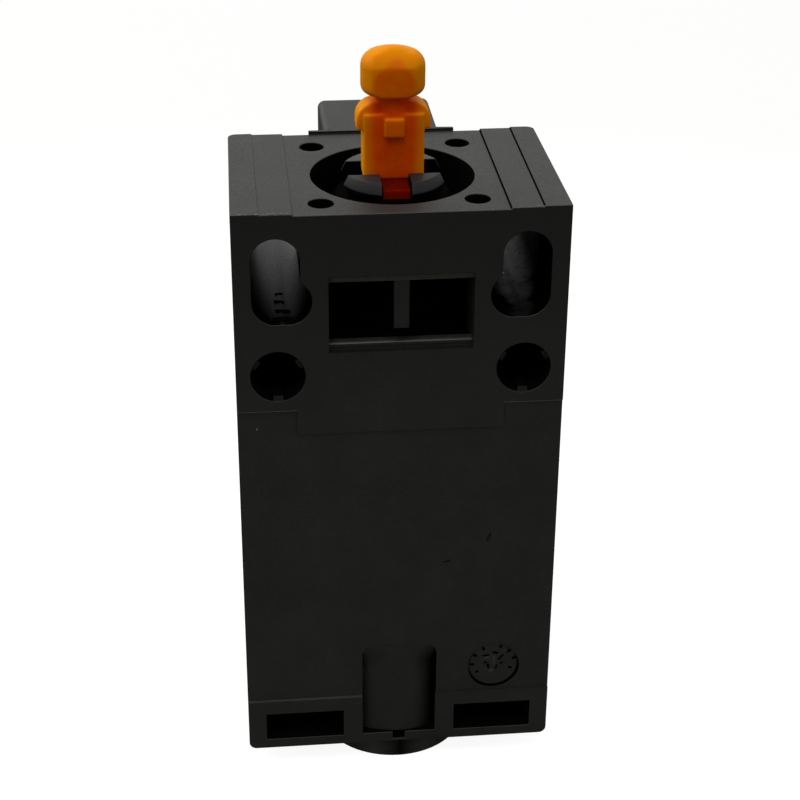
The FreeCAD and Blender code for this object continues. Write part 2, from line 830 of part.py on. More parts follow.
def make_cover_screw():
    """The slotted cover screw, its sealing washer and the brass insert that it enters."""
    z = up("cover_screw_z")
    head_top = f"({COVER_HEAD_SEAT} + dims.cover_head_height)"
    head = inward_rod("cover_screw_head_rod", "0", (COVER_HEAD_SEAT, head_top), z, "dims.cover_screw_head")
    shank = inward_rod("cover_screw_shank", "0", ("dims.cover_screw_end_y", COVER_HEAD_SEAT), z,
                       "dims.cover_screw_radius")
    drive = drive_slot("cover_screw_drive", "0", head_top, z, "dims.cover_screw_head")
    piece("cover_screw", cut("cover_screw_body", join("cover_screw_blank", [head, shank]), [drive]))
    ring = inward_rod("cover_washer_disc", "0", (WASHER_SEAT, COVER_HEAD_SEAT), z, "dims.cover_screw_head")
    eye = inward_rod("cover_washer_eye", "0", (WASHER_SEAT, COVER_HEAD_SEAT), z, "dims.insert_bore")
    piece("cover_screw_washer", cut("cover_washer_ring", ring, [eye]))
    depth = ("dims.flank_depth - dims.insert_length", "dims.flank_depth")
    sleeve = inward_rod("cover_insert_sleeve", "0", depth, z, "dims.insert_radius")
    bore = inward_rod("cover_insert_bore", "0", depth, z, "dims.insert_bore")
    piece("cover_insert", cut("cover_insert_body", sleeve, [bore]))


def drive_slot(label, x, face_y, z, radius):
    """The straight screwdriver slot across a screw head whose face is at face_y."""
    half = "dims.drive_slot_width / 2"
    return block(label, (f"{x} - {radius}", f"{x} + {radius}"),
                 (f"{face_y} - dims.drive_slot_depth", face_y), (f"{z} - {half}", f"{z} + {half}"))


# Pieces on the plunger's axis

def make_guide_bush():
    """The split bush that guides the plunger: a drum with a slotted conical collar on top."""
    body = new_body("guide_bush", on_plunger_axis=True)
    revolve(body, [
        ("dims.bush_bore", up("bush_seat_z")), ("dims.bush_radius", up("bush_seat_z")),
        ("dims.bush_radius", up("drum_top_z")), ("dims.waist_radius", up("drum_top_z")),
        ("dims.collar_low_radius", up("collar_low_z")), ("dims.collar_top_radius", up("collar_top_z")),
        ("dims.bush_bore", up("collar_top_z"))])
    deep_x = "(dims.blade_half + dims.slide_gap)"
    deep_y = "(dims.blade_thickness / 2 + dims.slide_gap)"
    beyond = "(dims.bush_radius + 1)"
    slots = ((beyond, deep_y, f"{up('collar_top_z')} - {up('drum_top_z')}"),
             ("dims.stem_slot_half", beyond, f"{up('collar_top_z')} - {up('drum_top_z')}"),
             (deep_x, deep_y, f"{up('collar_top_z')} - {SLOT_FLOOR}"),
             ("dims.stem_slot_half", "(dims.wing_reach + dims.slide_gap)",
              "dims.collar_top_z - dims.seal_seat_z"))
    for half_x, half_y, depth in slots:
        slot = on_level(body, up("collar_top_z"))
        rectangle(slot, f"-{half_x}", half_x, f"-{half_y}", half_y)
        cut_down(body, slot, depth)


def make_rod_seal():
    """The rubber ring with a lip at each end that keeps dirt off the contacts."""
    body = new_body("rod_seal", on_plunger_axis=True)
    low, high = up("seal_seat_z"), up("bush_seat_z")
    outer = "(dims.seal_seat_radius - dims.tenon_gap)"
    step = "(dims.seal_bore + dims.seal_lip)"
    revolve(body, [
        (step, low), (outer, low), (outer, high), (step, high),
        ("dims.seal_bore", f"{high} - dims.seal_lip"),
        (step, f"({low} + {high}) / 2"), ("dims.seal_bore", f"{low} + dims.seal_lip")])


def make_plunger_cap():
    """The moulded cap: crowned head with flats and brow, neck, rounded ears, blade, key and tenon hole."""
    body = new_body("plunger_cap", on_plunger_axis=True)
    rise = "(dims.head_top_z - dims.head_shoulder_z)"
    crown = f"(dims.head_shoulder_radius ^ 2 + {rise} ^ 2) / (2 * {rise})"
    revolve(body, [
        ("0", up("blade_high_z")), ("dims.neck_radius", up("blade_high_z")),
        ("dims.neck_radius", up("head_low_z")),
        ("dims.head_low_radius", up("head_low_z"), "dims.head_low_round", 1),
        ("dims.head_radius", up("head_waist_z")),
        ("dims.head_radius", up("head_side_z"), "dims.head_round", 1),
        ("dims.head_shoulder_radius", up("head_shoulder_z"), crown, 1), ("0", up("head_top_z"))])
    flats = on_level(body, up("head_top_z"))
    beyond = "(dims.head_radius + 1)"
    for side in SIDES.values():
        rectangle(flats, f"-{beyond}", beyond, *span(side, "dims.head_flat", beyond))
    cut_down(body, flats, "dims.head_top_z - dims.head_low_z")
    brow = on_side(body, beyond)
    brow_low, brow_end, over = up("brow_low_z"), up("brow_end_z"), f"({up('head_top_z')} + 1)"
    profile(brow, [
        ("-dims.head_flat", brow_low, "dims.brow_radius", -1), ("dims.brow_end_y", brow_end),
        ("dims.brow_end_y", over), (f"-{beyond}", over), (f"-{beyond}", brow_low)])
    cut_across(body, brow, f"2 * {beyond}")
    blade = on_panel(body, "0 - dims.blade_thickness / 2")
    rectangle(blade, "-dims.blade_half", "dims.blade_half", up("blade_low_z"), up("blade_high_z"))
    pad_inward(body, blade, "dims.blade_thickness")
    dress(body, "Fillet", "dims.blade_edge", lambda edge: along(edge, "z") and at(
        edge, x=number("dims.blade_half")))
    ears = on_panel(body, "0 - dims.ear_thickness / 2")
    profile(ears, [
        ("-dims.ear_half", up("ear_low_z")), ("dims.ear_half", up("ear_low_z")),
        ("dims.ear_half", up("ear_side_z"), "dims.ear_round", 1), ("dims.neck_radius", up("ear_top_z")),
        ("-dims.neck_radius", up("ear_top_z"), "dims.ear_round", 1), ("-dims.ear_half", up("ear_side_z"))])
    pad_inward(body, ears, "dims.ear_thickness")
    key = on_panel(body, "0 - dims.blade_thickness / 2 - dims.key_proud")
    rectangle(key, "-dims.key_half", "dims.key_half", up("key_low_z"), up("key_high_z"))
    pad_inward(body, key, "2 * dims.key_proud")
    hole = on_level(body, up("blade_low_z"))
    tenon_outline(hole, "dims.tenon_gap")
    cut_up(body, hole, "dims.tenon_height + dims.tenon_gap")


def tenon_outline(sketch, play):
    """The rod's tenon, made larger on every side by the play."""
    half_x = f"(dims.tenon_half + {play})"
    half_y = f"(dims.tenon_thickness / 2 + {play})"
    rectangle(sketch, f"-{half_x}", half_x, f"-{half_y}", half_y)


def make_push_rod():
    """The rod that carries the cap's push to the contact carrier, with the return spring's collar."""
    body = new_body("push_rod", on_plunger_axis=True)
    spigot_low = f"{up('carrier_high_z')} - dims.spigot_depth"
    revolve(body, [
        ("0", spigot_low), ("dims.spigot_radius", spigot_low),
        ("dims.spigot_radius", up("carrier_high_z")), ("dims.rod_radius", up("carrier_high_z")),
        ("dims.rod_radius", up("rod_collar_low_z")), ("dims.collar_radius", up("rod_collar_low_z")),
        ("dims.collar_radius", up("rod_collar_high_z")), ("dims.rod_radius", up("rod_collar_high_z")),
        ("dims.rod_radius", up("stem_low_z")), ("0", up("stem_low_z"))])
    stem = on_level(body, up("stem_low_z"))
    rectangle(stem, "-dims.stem_half", "dims.stem_half",
              "-dims.stem_thickness / 2", "dims.stem_thickness / 2")
    pad_up(body, stem, "dims.wing_low_z - dims.stem_low_z")
    tenon = on_level(body, up("wing_low_z"))
    tenon_outline(tenon, "0")
    pad_up(body, tenon, "dims.blade_low_z - dims.wing_low_z + dims.tenon_height")


def make_guide_key():
    """The bar on the rod's tenon, whose wings run in the bush and keep the cap from turning."""
    body = new_body("guide_key", on_plunger_axis=True)
    thickness = "dims.blade_low_z - dims.wing_low_z"
    bar = on_level(body, up("wing_low_z"))
    rectangle(bar, "-dims.stem_half", "dims.stem_half", "-dims.wing_reach", "dims.wing_reach")
    pad_up(body, bar, thickness)
    hole = on_level(body, up("wing_low_z"))
    tenon_outline(hole, "dims.tenon_gap")
    cut_up(body, hole, thickness)


def make_spring(label, radius, wire, low, high, turns):
    """A coil spring on the plunger's axis that fills the height between two seats."""
    start = f"({low} + {wire} + dims.spring_seat_gap)"
    height = f"({high} - {low} - 2 * {wire} - 2 * dims.spring_seat_gap)"
    path = DOC.addObject("Part::Helix", f"{label}_path")
    section = DOC.addObject("Part::RegularPolygon", f"{label}_section")
    section.Placement = FreeCAD.Placement(FreeCAD.Vector(), FreeCAD.Rotation(FreeCAD.Vector(1, 0, 0), 90))
    bind(path, "Radius", radius)
    bind(path, "Height", height)
    bind(path, "Pitch", f"{height} / {turns}")
    bind(section, "Polygon", "dims.spring_wire_sides")
    bind(section, "Circumradius", wire)
    bind(section, "Placement.Base.x", radius)
    for thing in (path, section):
        bind(thing, "Placement.Base.y", "dims.plunger_y")
        bind(thing, "Placement.Base.z", start)
    DOC.recompute()
    coil = DOC.addObject("Part::Sweep", f"{label}_coil")
    coil.Sections = [section]
    coil.Spine = (path, [f"Edge{k}" for k in range(1, len(path.Shape.Edges) + 1)])
    coil.Solid = True
    coil.Frenet = True
    piece(label, coil)


# Contact block, terminals and moving contacts

def make_contact_block():
    """The insulating block: contact chamber, rod hole, terminal slits and screw holes."""
    label = "contact_block"
    shell = block(f"{label}_shell", ("-dims.block_half", "dims.block_half"), ("dims.back_wall", BLOCK_FRONT),
                  (up("block_low_z"), up("block_high_z")))
    tools = [
        block(f"{label}_chamber", ("-dims.chamber_half", "dims.chamber_half"),
              ("dims.chamber_back_y", BLOCK_FRONT), (up("chamber_low_z"), up("chamber_high_z"))),
        upright_rod(f"{label}_rod_hole", "0", "dims.plunger_y", (up("chamber_high_z"), up("block_high_z")),
                    "dims.web_hole_radius")]
    for name, side in SIDES.items():
        across = span(side, "dims.chamber_half", "dims.leg_out + dims.strip_gap")
        for kind, face_way in (("nc", -1), ("no", 1)):
            low, high = strip_levels(kind, face_way)
            tools.append(block(f"{label}_{kind}_{name}_slit", across,
                               ("dims.leg_back_y - dims.strip_gap", BLOCK_FRONT),
                               (f"{low} - dims.strip_gap", f"{high} + dims.strip_gap")))
            x, z = screw_place(side, kind, face_way)
            tools.append(inward_rod(f"{label}_{kind}_{name}_hole", x,
                                    (f"{BLOCK_FRONT} - dims.terminal_hole_depth", BLOCK_FRONT), z,
                                    "dims.terminal_screw_hole"))
        tools.append(inward_rod(f"{label}_{name}_fixing", signed(side, "dims.block_screw_x"),
                                ("dims.back_wall", BLOCK_FRONT), up("block_screw_z"),
                                "dims.block_screw_hole"))
    piece(label, cut(f"{label}_body", shell, tools))


def strip_levels(kind, face_way):
    """The lower and upper height of a terminal's level leg, whose face hangs down (-1) or stands up (1)."""
    outer = up(f"{kind}_level_z")
    inner = f"({outer} + {face_way} * dims.strip_gauge)"
    return (outer, inner) if face_way > 0 else (inner, outer)


def screw_place(side, kind, face_way):
    """The place of a terminal's screw in X and Z."""
    x = signed(side, "(dims.leg_in + dims.leg_out) / 2")
    z = f"({up(f'{kind}_level_z')} + {face_way} * (dims.terminal_screw_drop + dims.strip_gauge / 4))"
    return x, z


def make_block_lid():
    """The cross-shaped lid over the contact chamber, with an ear for each block screw."""
    body = new_body("contact_block_lid")
    plate = on_panel(body, BLOCK_FRONT)
    wide, slim = "dims.lid_ear_out", "dims.lid_half"
    low, high = up("lid_low_z"), up("lid_high_z")
    ear_low, ear_high = up("lid_ear_low_z"), up("lid_ear_high_z")
    profile(plate, [
        (f"-{slim}", low), (slim, low), (slim, ear_low), (wide, ear_low), (wide, ear_high), (slim, ear_high),
        (slim, high), (f"-{slim}", high), (f"-{slim}", ear_high), (f"-{wide}", ear_high),
        (f"-{wide}", ear_low), (f"-{slim}", ear_low)])
    pad_inward(body, plate, "dims.lid_thickness")
    dress(body, "Fillet", "dims.lid_corner", lambda edge: along(edge, "y"))
    holes = on_panel(body, BLOCK_FRONT)
    for side in SIDES.values():
        circle(holes, signed(side, "dims.block_screw_x"), up("block_screw_z"), "dims.block_screw_hole")
    cut_inward(body, holes, "dims.lid_thickness")


def make_block_screws():
    """The two screws that hold the lid and the block to the housing."""
    seat = f"({BLOCK_FRONT} + dims.lid_thickness)"
    face = f"({seat} + dims.block_head_height)"
    screws = []
    for name, side in SIDES.items():
        screws.append(slotted_screw(f"block_screw_{name}", signed(side, "dims.block_screw_x"),
                                    up("block_screw_z"), ("dims.block_screw_end_y", seat, face),
                                    ("dims.block_screw_radius", "dims.block_screw_head")))
    group("block_screws", screws)


def slotted_screw(label, x, z, reach, radii):
    """A screw along Y: reach is its end, seat and face, and radii its shank and head."""
    end, seat, face = reach
    shank, head = radii
    blank = join(f"{label}_blank", [inward_rod(f"{label}_shank", x, (end, seat), z, shank),
                                    inward_rod(f"{label}_head", x, (seat, face), z, head)])
    return cut(label, blank, [drive_slot(f"{label}_drive", x, face, z, head)])


def make_terminal(label, side, kind, face_way):
    """One bent terminal strip: level leg, upright screw face and the tongue that carries a contact."""
    body = new_body(label)
    near, _ = span(side, "dims.leg_in", "dims.leg_out")
    strip = sketch_on(body, "YZ_Plane", near)
    outer = up(f"{kind}_level_z")
    inner = f"({outer} + {face_way} * dims.strip_gauge)"
    tip = f"({outer} + {face_way} * dims.face_height)"
    profile(strip, [("dims.leg_back_y", outer), (FACE_FRONT, outer), (FACE_FRONT, tip), (BLOCK_FRONT, tip),
                    (BLOCK_FRONT, inner), ("dims.leg_back_y", inner)])
    extrude(body, "Pad", strip, "dims.leg_out - dims.leg_in", False)
    dress(body, "Fillet", "dims.strip_gauge", lambda edge: along(edge, "x") and at(
        edge, y=number(FACE_FRONT), z=number(outer)))
    tongue = on_level(body, strip_levels(kind, face_way)[0])
    rectangle(tongue, *span(side, "dims.tongue_in", "dims.leg_in"), "dims.leg_back_y", "dims.tongue_front_y")
    pad_up(body, tongue, "dims.strip_gauge")
    hole = on_panel(body, BLOCK_FRONT)
    x, z = screw_place(side, kind, face_way)
    circle(hole, x, z, "dims.terminal_screw_hole")
    cut_inward(body, hole, "dims.strip_gauge")


def make_terminals():
    """Four terminals with their fixed contacts, clamp plates and screws."""
    contacts, clamps, screws = [], [], []
    clamp_front = f"({FACE_FRONT} + dims.clamp_thickness)"
    for kind, face_way in (("nc", -1), ("no", 1)):
        low, high = strip_levels(kind, face_way)
        below, above = (f"{low} - dims.contact_height", low), (high, f"{high} + dims.contact_height")
        contact = below if face_way < 0 else above
        for name, side in SIDES.items():
            make_terminal(f"{kind}_terminal_{name}", side, kind, face_way)
            contacts.append(upright_rod(f"{kind}_{name}_fixed_contact", signed(side, "dims.contact_x"),
                                        "dims.plunger_y", contact, "dims.contact_radius"))
            x, z = screw_place(side, kind, face_way)
            plate = block(f"{kind}_{name}_clamp_plate", (f"{x} - dims.clamp_half", f"{x} + dims.clamp_half"),
                          (FACE_FRONT, clamp_front), (f"{z} - dims.clamp_half", f"{z} + dims.clamp_half"))
            eye = inward_rod(f"{kind}_{name}_clamp_eye", x, (FACE_FRONT, clamp_front), z,
                             "dims.terminal_screw_hole")
            clamps.append(cut(f"{kind}_{name}_clamp", plate, [eye]))
            face = f"({clamp_front} + dims.terminal_head_height)"
            screws.append(slotted_screw(f"{kind}_{name}_screw", x, z,
                                        ("dims.terminal_screw_end_y", clamp_front, face),
                                        ("dims.terminal_screw_radius", "dims.terminal_head_radius")))
    group("fixed_contacts", contacts)
    group("clamp_plates", clamps)
    group("terminal_screws", screws)


def make_contact_carrier():
    """The sliding carrier with a window for each contact bridge and a socket for the rod."""
    label = "contact_carrier"
    half_y, window_y = "dims.carrier_thickness / 2", "dims.carrier_window / 2"
    bar = block(f"{label}_bar", ("-dims.carrier_half", "dims.carrier_half"),
                (f"dims.plunger_y - {half_y}", f"dims.plunger_y + {half_y}"),
                (up("carrier_low_z"), up("carrier_high_z")))
    tools = [upright_rod(f"{label}_socket", "0", "dims.plunger_y",
                         (f"{up('carrier_high_z')} - dims.spigot_depth", up("carrier_high_z")),
                         "dims.spigot_radius + dims.tenon_gap")]
    for kind in ("nc", "no"):
        tools.append(block(f"{label}_{kind}_window", ("-dims.carrier_half", "dims.carrier_half"),
                           (f"dims.plunger_y - {window_y}", f"dims.plunger_y + {window_y}"),
                           (up(f"{kind}_window_low_z"), up(f"{kind}_window_high_z"))))
    piece(label, cut(f"{label}_body", bar, tools))


def make_bridge(kind, contact_way):
    """A contact bridge, with a contact near each end on its upper (1) or lower (-1) face."""
    body = new_body(f"{kind}_bridge", on_plunger_axis=True)
    low = up(f"{kind}_bridge_z")
    plate = on_level(body, low)
    half_y = "dims.bridge_width / 2"
    rectangle(plate, "-dims.bridge_half", "dims.bridge_half", f"-{half_y}", half_y)
    pad_up(body, plate, "dims.bridge_gauge")
    dress(body, "Fillet", f"{half_y} - dims.spring_seat_gap", lambda edge: along(edge, "z"))
    seat = f"({low} + dims.bridge_gauge)" if contact_way > 0 else low
    far = f"({seat} + {contact_way} * dims.contact_height)"
    heights = (seat, far) if contact_way > 0 else (far, seat)
    contacts = []
    for name, side in SIDES.items():
        contacts.append(upright_rod(f"{kind}_{name}_moving_contact", signed(side, "dims.contact_x"),
                                    "dims.plunger_y", heights, "dims.contact_radius"))
    group(f"{kind}_bridge_contacts", contacts)


def make_springs():
    """The return spring round the rod and the two contact springs inside the carrier."""
    make_spring("return_spring", "dims.return_spring_radius", "dims.return_spring_wire",
                up("block_high_z"), up("rod_collar_low_z"), "dims.return_spring_turns")
    make_spring("nc_contact_spring", "dims.contact_spring_radius", "dims.contact_spring_wire",
                up("nc_window_low_z"), up("nc_bridge_z"), "dims.contact_spring_turns")
    make_spring("no_contact_spring", "dims.contact_spring_radius", "dims.contact_spring_wire",
                f"({up('no_bridge_z')} + dims.bridge_gauge)", up("no_window_high_z"),
                "dims.contact_spring_turns")


def check_and_export():
    """Stops on a failed object or a bad shape, then writes each piece to its own file."""
    DOC.recompute()
    for thing in DOC.Objects:
        if "Invalid" in thing.State or "Error" in thing.State:
            raise RuntimeError(f"{thing.Label} failed: {thing.State}")
    for thing in PIECES:
        if thing.Shape.isNull() or not thing.Shape.isValid() or not thing.Shape.Solids:
            raise RuntimeError(f"{thing.Label} has no sound solid")
    os.makedirs("parts", exist_ok=True)
    for thing in PIECES:
        thing.Shape.exportStep(f"parts/{thing.Label}.step")
        size = thing.Shape.BoundBox
        print(f"{thing.Label}: {len(thing.Shape.Solids)} solid, {thing.Shape.Volume:.1f} mm3, "
              f"{size.XLength:.1f} x {size.YLength:.1f} x {size.ZLength:.1f}")


fill_sheet()
make_housing()
make_front_cover()
make_cover_gasket()
make_cover_screw()
make_guide_bush()
make_rod_seal()
make_plunger_cap()
make_push_rod()
make_guide_key()
make_contact_block()
make_block_lid()
make_block_screws()
make_terminals()
make_contact_carrier()
make_bridge("nc", 1)
make_bridge("no", -1)
make_springs()
check_and_export()
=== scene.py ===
"""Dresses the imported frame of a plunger-operated door position switch and lights it for a studio view."""

import json
import logging
import math
from dataclasses import dataclass, replace
from enum import Enum

import bmesh
import bpy
import numpy as np
from mathutils import Matrix, Vector


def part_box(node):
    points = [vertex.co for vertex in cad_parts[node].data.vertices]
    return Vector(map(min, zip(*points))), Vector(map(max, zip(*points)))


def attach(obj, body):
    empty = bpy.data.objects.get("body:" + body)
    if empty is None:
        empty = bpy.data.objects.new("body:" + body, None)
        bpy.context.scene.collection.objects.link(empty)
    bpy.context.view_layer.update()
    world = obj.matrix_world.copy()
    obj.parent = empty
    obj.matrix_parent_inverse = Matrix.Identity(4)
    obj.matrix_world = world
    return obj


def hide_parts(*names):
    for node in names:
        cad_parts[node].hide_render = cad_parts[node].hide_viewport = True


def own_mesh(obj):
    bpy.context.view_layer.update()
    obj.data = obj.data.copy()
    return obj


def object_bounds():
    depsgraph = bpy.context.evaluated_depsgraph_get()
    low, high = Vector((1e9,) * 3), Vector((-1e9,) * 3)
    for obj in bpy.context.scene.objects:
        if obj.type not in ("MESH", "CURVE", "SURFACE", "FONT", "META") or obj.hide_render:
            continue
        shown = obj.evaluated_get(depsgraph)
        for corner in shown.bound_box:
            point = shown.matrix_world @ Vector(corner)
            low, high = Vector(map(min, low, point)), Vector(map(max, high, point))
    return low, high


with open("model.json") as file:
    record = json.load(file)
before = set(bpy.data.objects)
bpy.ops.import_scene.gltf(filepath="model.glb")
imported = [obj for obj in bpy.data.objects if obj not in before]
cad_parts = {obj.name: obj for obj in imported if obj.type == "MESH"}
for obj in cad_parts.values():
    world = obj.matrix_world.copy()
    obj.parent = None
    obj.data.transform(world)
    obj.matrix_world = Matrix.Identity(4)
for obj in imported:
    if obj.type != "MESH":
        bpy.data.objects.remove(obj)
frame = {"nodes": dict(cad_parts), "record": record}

LOG = logging.getLogger("door_switch")
MM = 0.001
CAD_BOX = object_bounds()

# Heights in this script count in millimetres from the housing's foot, as in the maker's drawing.
STUD_HEIGHT_MM = 41.0
PLUNGER_Y_MM = 9.4

# Sockets of the colour form of the Mix node, whose names repeat for each kind of value.
MIX_FACTOR, MIX_A, MIX_B, MIX_RESULT = 0, 6, 7, 2
# A noise has most of its values between these.
NOISE_LOW, NOISE_HIGH = 0.3, 0.7
# The colour of full painted shade, which painted light and shade mixes in where a face keeps no light.
UNLIT = "#040404"
# Points nearer than these are one point: in a new mesh, and among a CAD node's loose triangles.
WELD_MM, NODE_WELD_MM = 0.0005, 0.001
# Faces of a CAD node that turn by less than this are one flat face.
FLAT_DEG = 0.4
# Random numbers that the averaging of torn flash uses up past its end.
SPARE_DRAWS = 8


class Body(Enum):
    """The rigid groups that carry new pieces, by the names that the record gives them."""

    BASE = "base"
    PLUNGER = "plunger"
    COVER = "cover"


def height(above_foot_mm: float) -> float:
    """Turns a height above the foot in millimetres into a Z in metres."""
    return (above_foot_mm - STUD_HEIGHT_MM) * MM


def linear(colour: str) -> tuple[float, float, float, float]:
    """Turns an sRGB hex colour into linear red, green, blue and full alpha.

    Args:
        colour: six hex digits after a hash.

    Returns:
        The four numbers that a colour socket takes.
    """
    parts = np.array([int(colour[k:k + 2], 16) for k in (1, 3, 5)]) / 255.0
    values = np.where(parts <= 0.04045, parts / 12.92, ((parts + 0.055) / 1.055) ** 2.4)
    return (*(float(v) for v in values), 1.0)


def add_node(tree: bpy.types.NodeTree, kind: str, inputs: dict | None = None, **settings) -> bpy.types.Node:
    """Adds one node, sets its properties and fills its sockets.

    Args:
        tree: the node tree that gets the node.
        kind: the node type's identifier.
        inputs: for each socket's name or index, a plain value or an output socket to link.
        settings: properties of the node itself.

    Returns:
        The new node.
    """
    node = tree.nodes.new(kind)
    for key, value in settings.items():
        setattr(node, key, value)
    for key, value in (inputs or {}).items():
        if isinstance(value, bpy.types.NodeSocket):
            tree.links.new(value, node.inputs[key])
        else:
            node.inputs[key].default_value = value
    return node


def empty_tree(owner: bpy.types.Material | bpy.types.World) -> bpy.types.NodeTree:
    """Switches an owner's nodes on and clears them.

    Args:
        owner: the material or world.

    Returns:
        Its empty node tree.
    """
    owner.use_nodes = True
    owner.node_tree.nodes.clear()
    return owner.node_tree


@dataclass(frozen=True)
class PaintedLight:
    """Painted light and shade: where a face keeps its light, far along one axis and near a line of one X, in patches;
    elsewhere it is painted dark.

    Its places count from the origin, also along Z.
    """

    middle_mm: float
    spread: float
    range_mm: tuple[float, float]
    wobble_mm: float = 0.0
    patch_mm: float = 1.3
    along: str = "Y"
    dims_gloss: bool = True

    def share(self, tree: bpy.types.NodeTree, place: bpy.types.NodeSocket) -> bpy.types.NodeSocket:
        """Ramps the place along the axis, less a multiple of the distance from the line, plus a noise.

        Args:
            tree: the node tree that asks.
            place: the socket with the object coordinates.

        Returns:
            The socket with the share, from 0 to 1.
        """
        axes = add_node(tree, "ShaderNodeSeparateXYZ", {"Vector": place})
        aside = add_node(tree, "ShaderNodeMath", {
            0: axes.outputs["X"], 1: self.middle_mm * MM}, operation="SUBTRACT")
        away = add_node(tree, "ShaderNodeMath", {0: aside.outputs["Value"]}, operation="ABSOLUTE")
        depth = add_node(tree, "ShaderNodeMath", {
            0: away.outputs["Value"], 1: -self.spread, 2: axes.outputs[self.along]}, operation="MULTIPLY_ADD")
        patches = add_node(tree, "ShaderNodeTexNoise", {
            "Vector": place, "Scale": 1 / (self.patch_mm * MM), "Detail": 4.0, "Roughness": 0.6})
        moved = add_node(tree, "ShaderNodeMath", {
            0: patches.outputs["Fac"], 1: self.wobble_mm * MM, 2: depth.outputs["Value"]}, operation="MULTIPLY_ADD")
        low, high = ((level + self.wobble_mm / 2) * MM for level in self.range_mm)
        ramp = add_node(tree, "ShaderNodeMapRange", {
            "Value": moved.outputs["Value"], "From Min": low, "From Max": high})
        return ramp.outputs["Result"]


@dataclass(frozen=True)
class MouldedFinish:
    """A moulded plastic or rubber: a fine spark-eroded grain, slow mottling, faint scuffs and, where named, painted
    light and shade.
    """

    name: str
    colour: str
    mottle: str
    roughness: float
    specular: float = 0.5
    ior: float = 1.5
    grain_mm: float = 0.22
    grain_depth_mm: float = 0.012
    mottle_mm: float = 5.0
    scuff: str | None = None
    scuff_mm: float = 1.6
    scuff_share: float = 0.5
    painted_light: PaintedLight | None = None
    mottle_span: tuple[float, float] = (0.32, 0.68)
    scuff_span: tuple[float, float] = (0.58, 0.78)
    gloss_swing: float = 0.06

    def material(self) -> bpy.types.Material:
        """Builds the finish: noise mixes two shades, a finer noise gives the grain's bump and gloss.

        Scuffs, and painted light and shade that dims the colour and the gloss outside the lit places, are there where
        the finish names them.

        Returns:
            The new material.
        """
        made = bpy.data.materials.new(self.name)
        tree = empty_tree(made)
        place = add_node(tree, "ShaderNodeTexCoord").outputs["Object"]
        slow = add_node(tree, "ShaderNodeTexNoise", {
            "Vector": place, "Scale": 1 / (self.mottle_mm * MM), "Detail": 5.0, "Roughness": 0.62})
        share = add_node(tree, "ShaderNodeMapRange", {
            "Value": slow.outputs["Fac"], "From Min": self.mottle_span[0], "From Max": self.mottle_span[1]})
        shade = add_node(tree, "ShaderNodeMix", {
            MIX_FACTOR: share.outputs["Result"], MIX_A: linear(self.colour), MIX_B: linear(self.mottle)},
            data_type="RGBA")
        colour = shade.outputs[MIX_RESULT]
        if self.scuff:
            rubbed = add_node(tree, "ShaderNodeTexNoise", {
                "Vector": place, "Scale": 1 / (self.scuff_mm * MM), "Detail": 8.0, "Roughness": 0.72,
                "Distortion": 0.6})
            marks = add_node(tree, "ShaderNodeMapRange", {
                "Value": rubbed.outputs["Fac"], "From Min": self.scuff_span[0], "From Max": self.scuff_span[1],
                "To Max": self.scuff_share})
            scuffed = add_node(tree, "ShaderNodeMix", {
                MIX_FACTOR: marks.outputs["Result"], MIX_A: colour, MIX_B: linear(self.scuff)}, data_type="RGBA")
            colour = scuffed.outputs[MIX_RESULT]
        specular = self.specular
        # Painted shade: outside the lit share the colour goes to the unlit colour, and the gloss dims with it.
        if self.painted_light:
            share = self.painted_light.share(tree, place)
            dimmed = add_node(tree, "ShaderNodeMix", {
                MIX_FACTOR: share, MIX_A: linear(UNLIT), MIX_B: colour}, data_type="RGBA")
            colour = dimmed.outputs[MIX_RESULT]
            if self.painted_light.dims_gloss:
                specular = add_node(tree, "ShaderNodeMath", {
                    0: share, 1: self.specular}, operation="MULTIPLY").outputs["Value"]
        grain = add_node(tree, "ShaderNodeTexNoise", {
            "Vector": place, "Scale": 1 / (self.grain_mm * MM), "Detail": 2.0, "Roughness": 0.55})
        gloss = add_node(tree, "ShaderNodeMapRange", {
            "Value": grain.outputs["Fac"], "From Min": NOISE_LOW, "From Max": NOISE_HIGH,
            "To Min": self.roughness - self.gloss_swing, "To Max": self.roughness + self.gloss_swing})
        bump = add_node(tree, "ShaderNodeBump", {
            "Height": grain.outputs["Fac"], "Distance": self.grain_depth_mm * MM, "Strength": 1.0})
        shader = add_node(tree, "ShaderNodeBsdfPrincipled", {
            "Base Color": colour, "Roughness": gloss.outputs["Result"], "Normal": bump.outputs["Normal"],
            "IOR": self.ior, "Specular IOR Level": specular})
        add_node(tree, "ShaderNodeOutputMaterial", {"Surface": shader.outputs["BSDF"]})
        return made


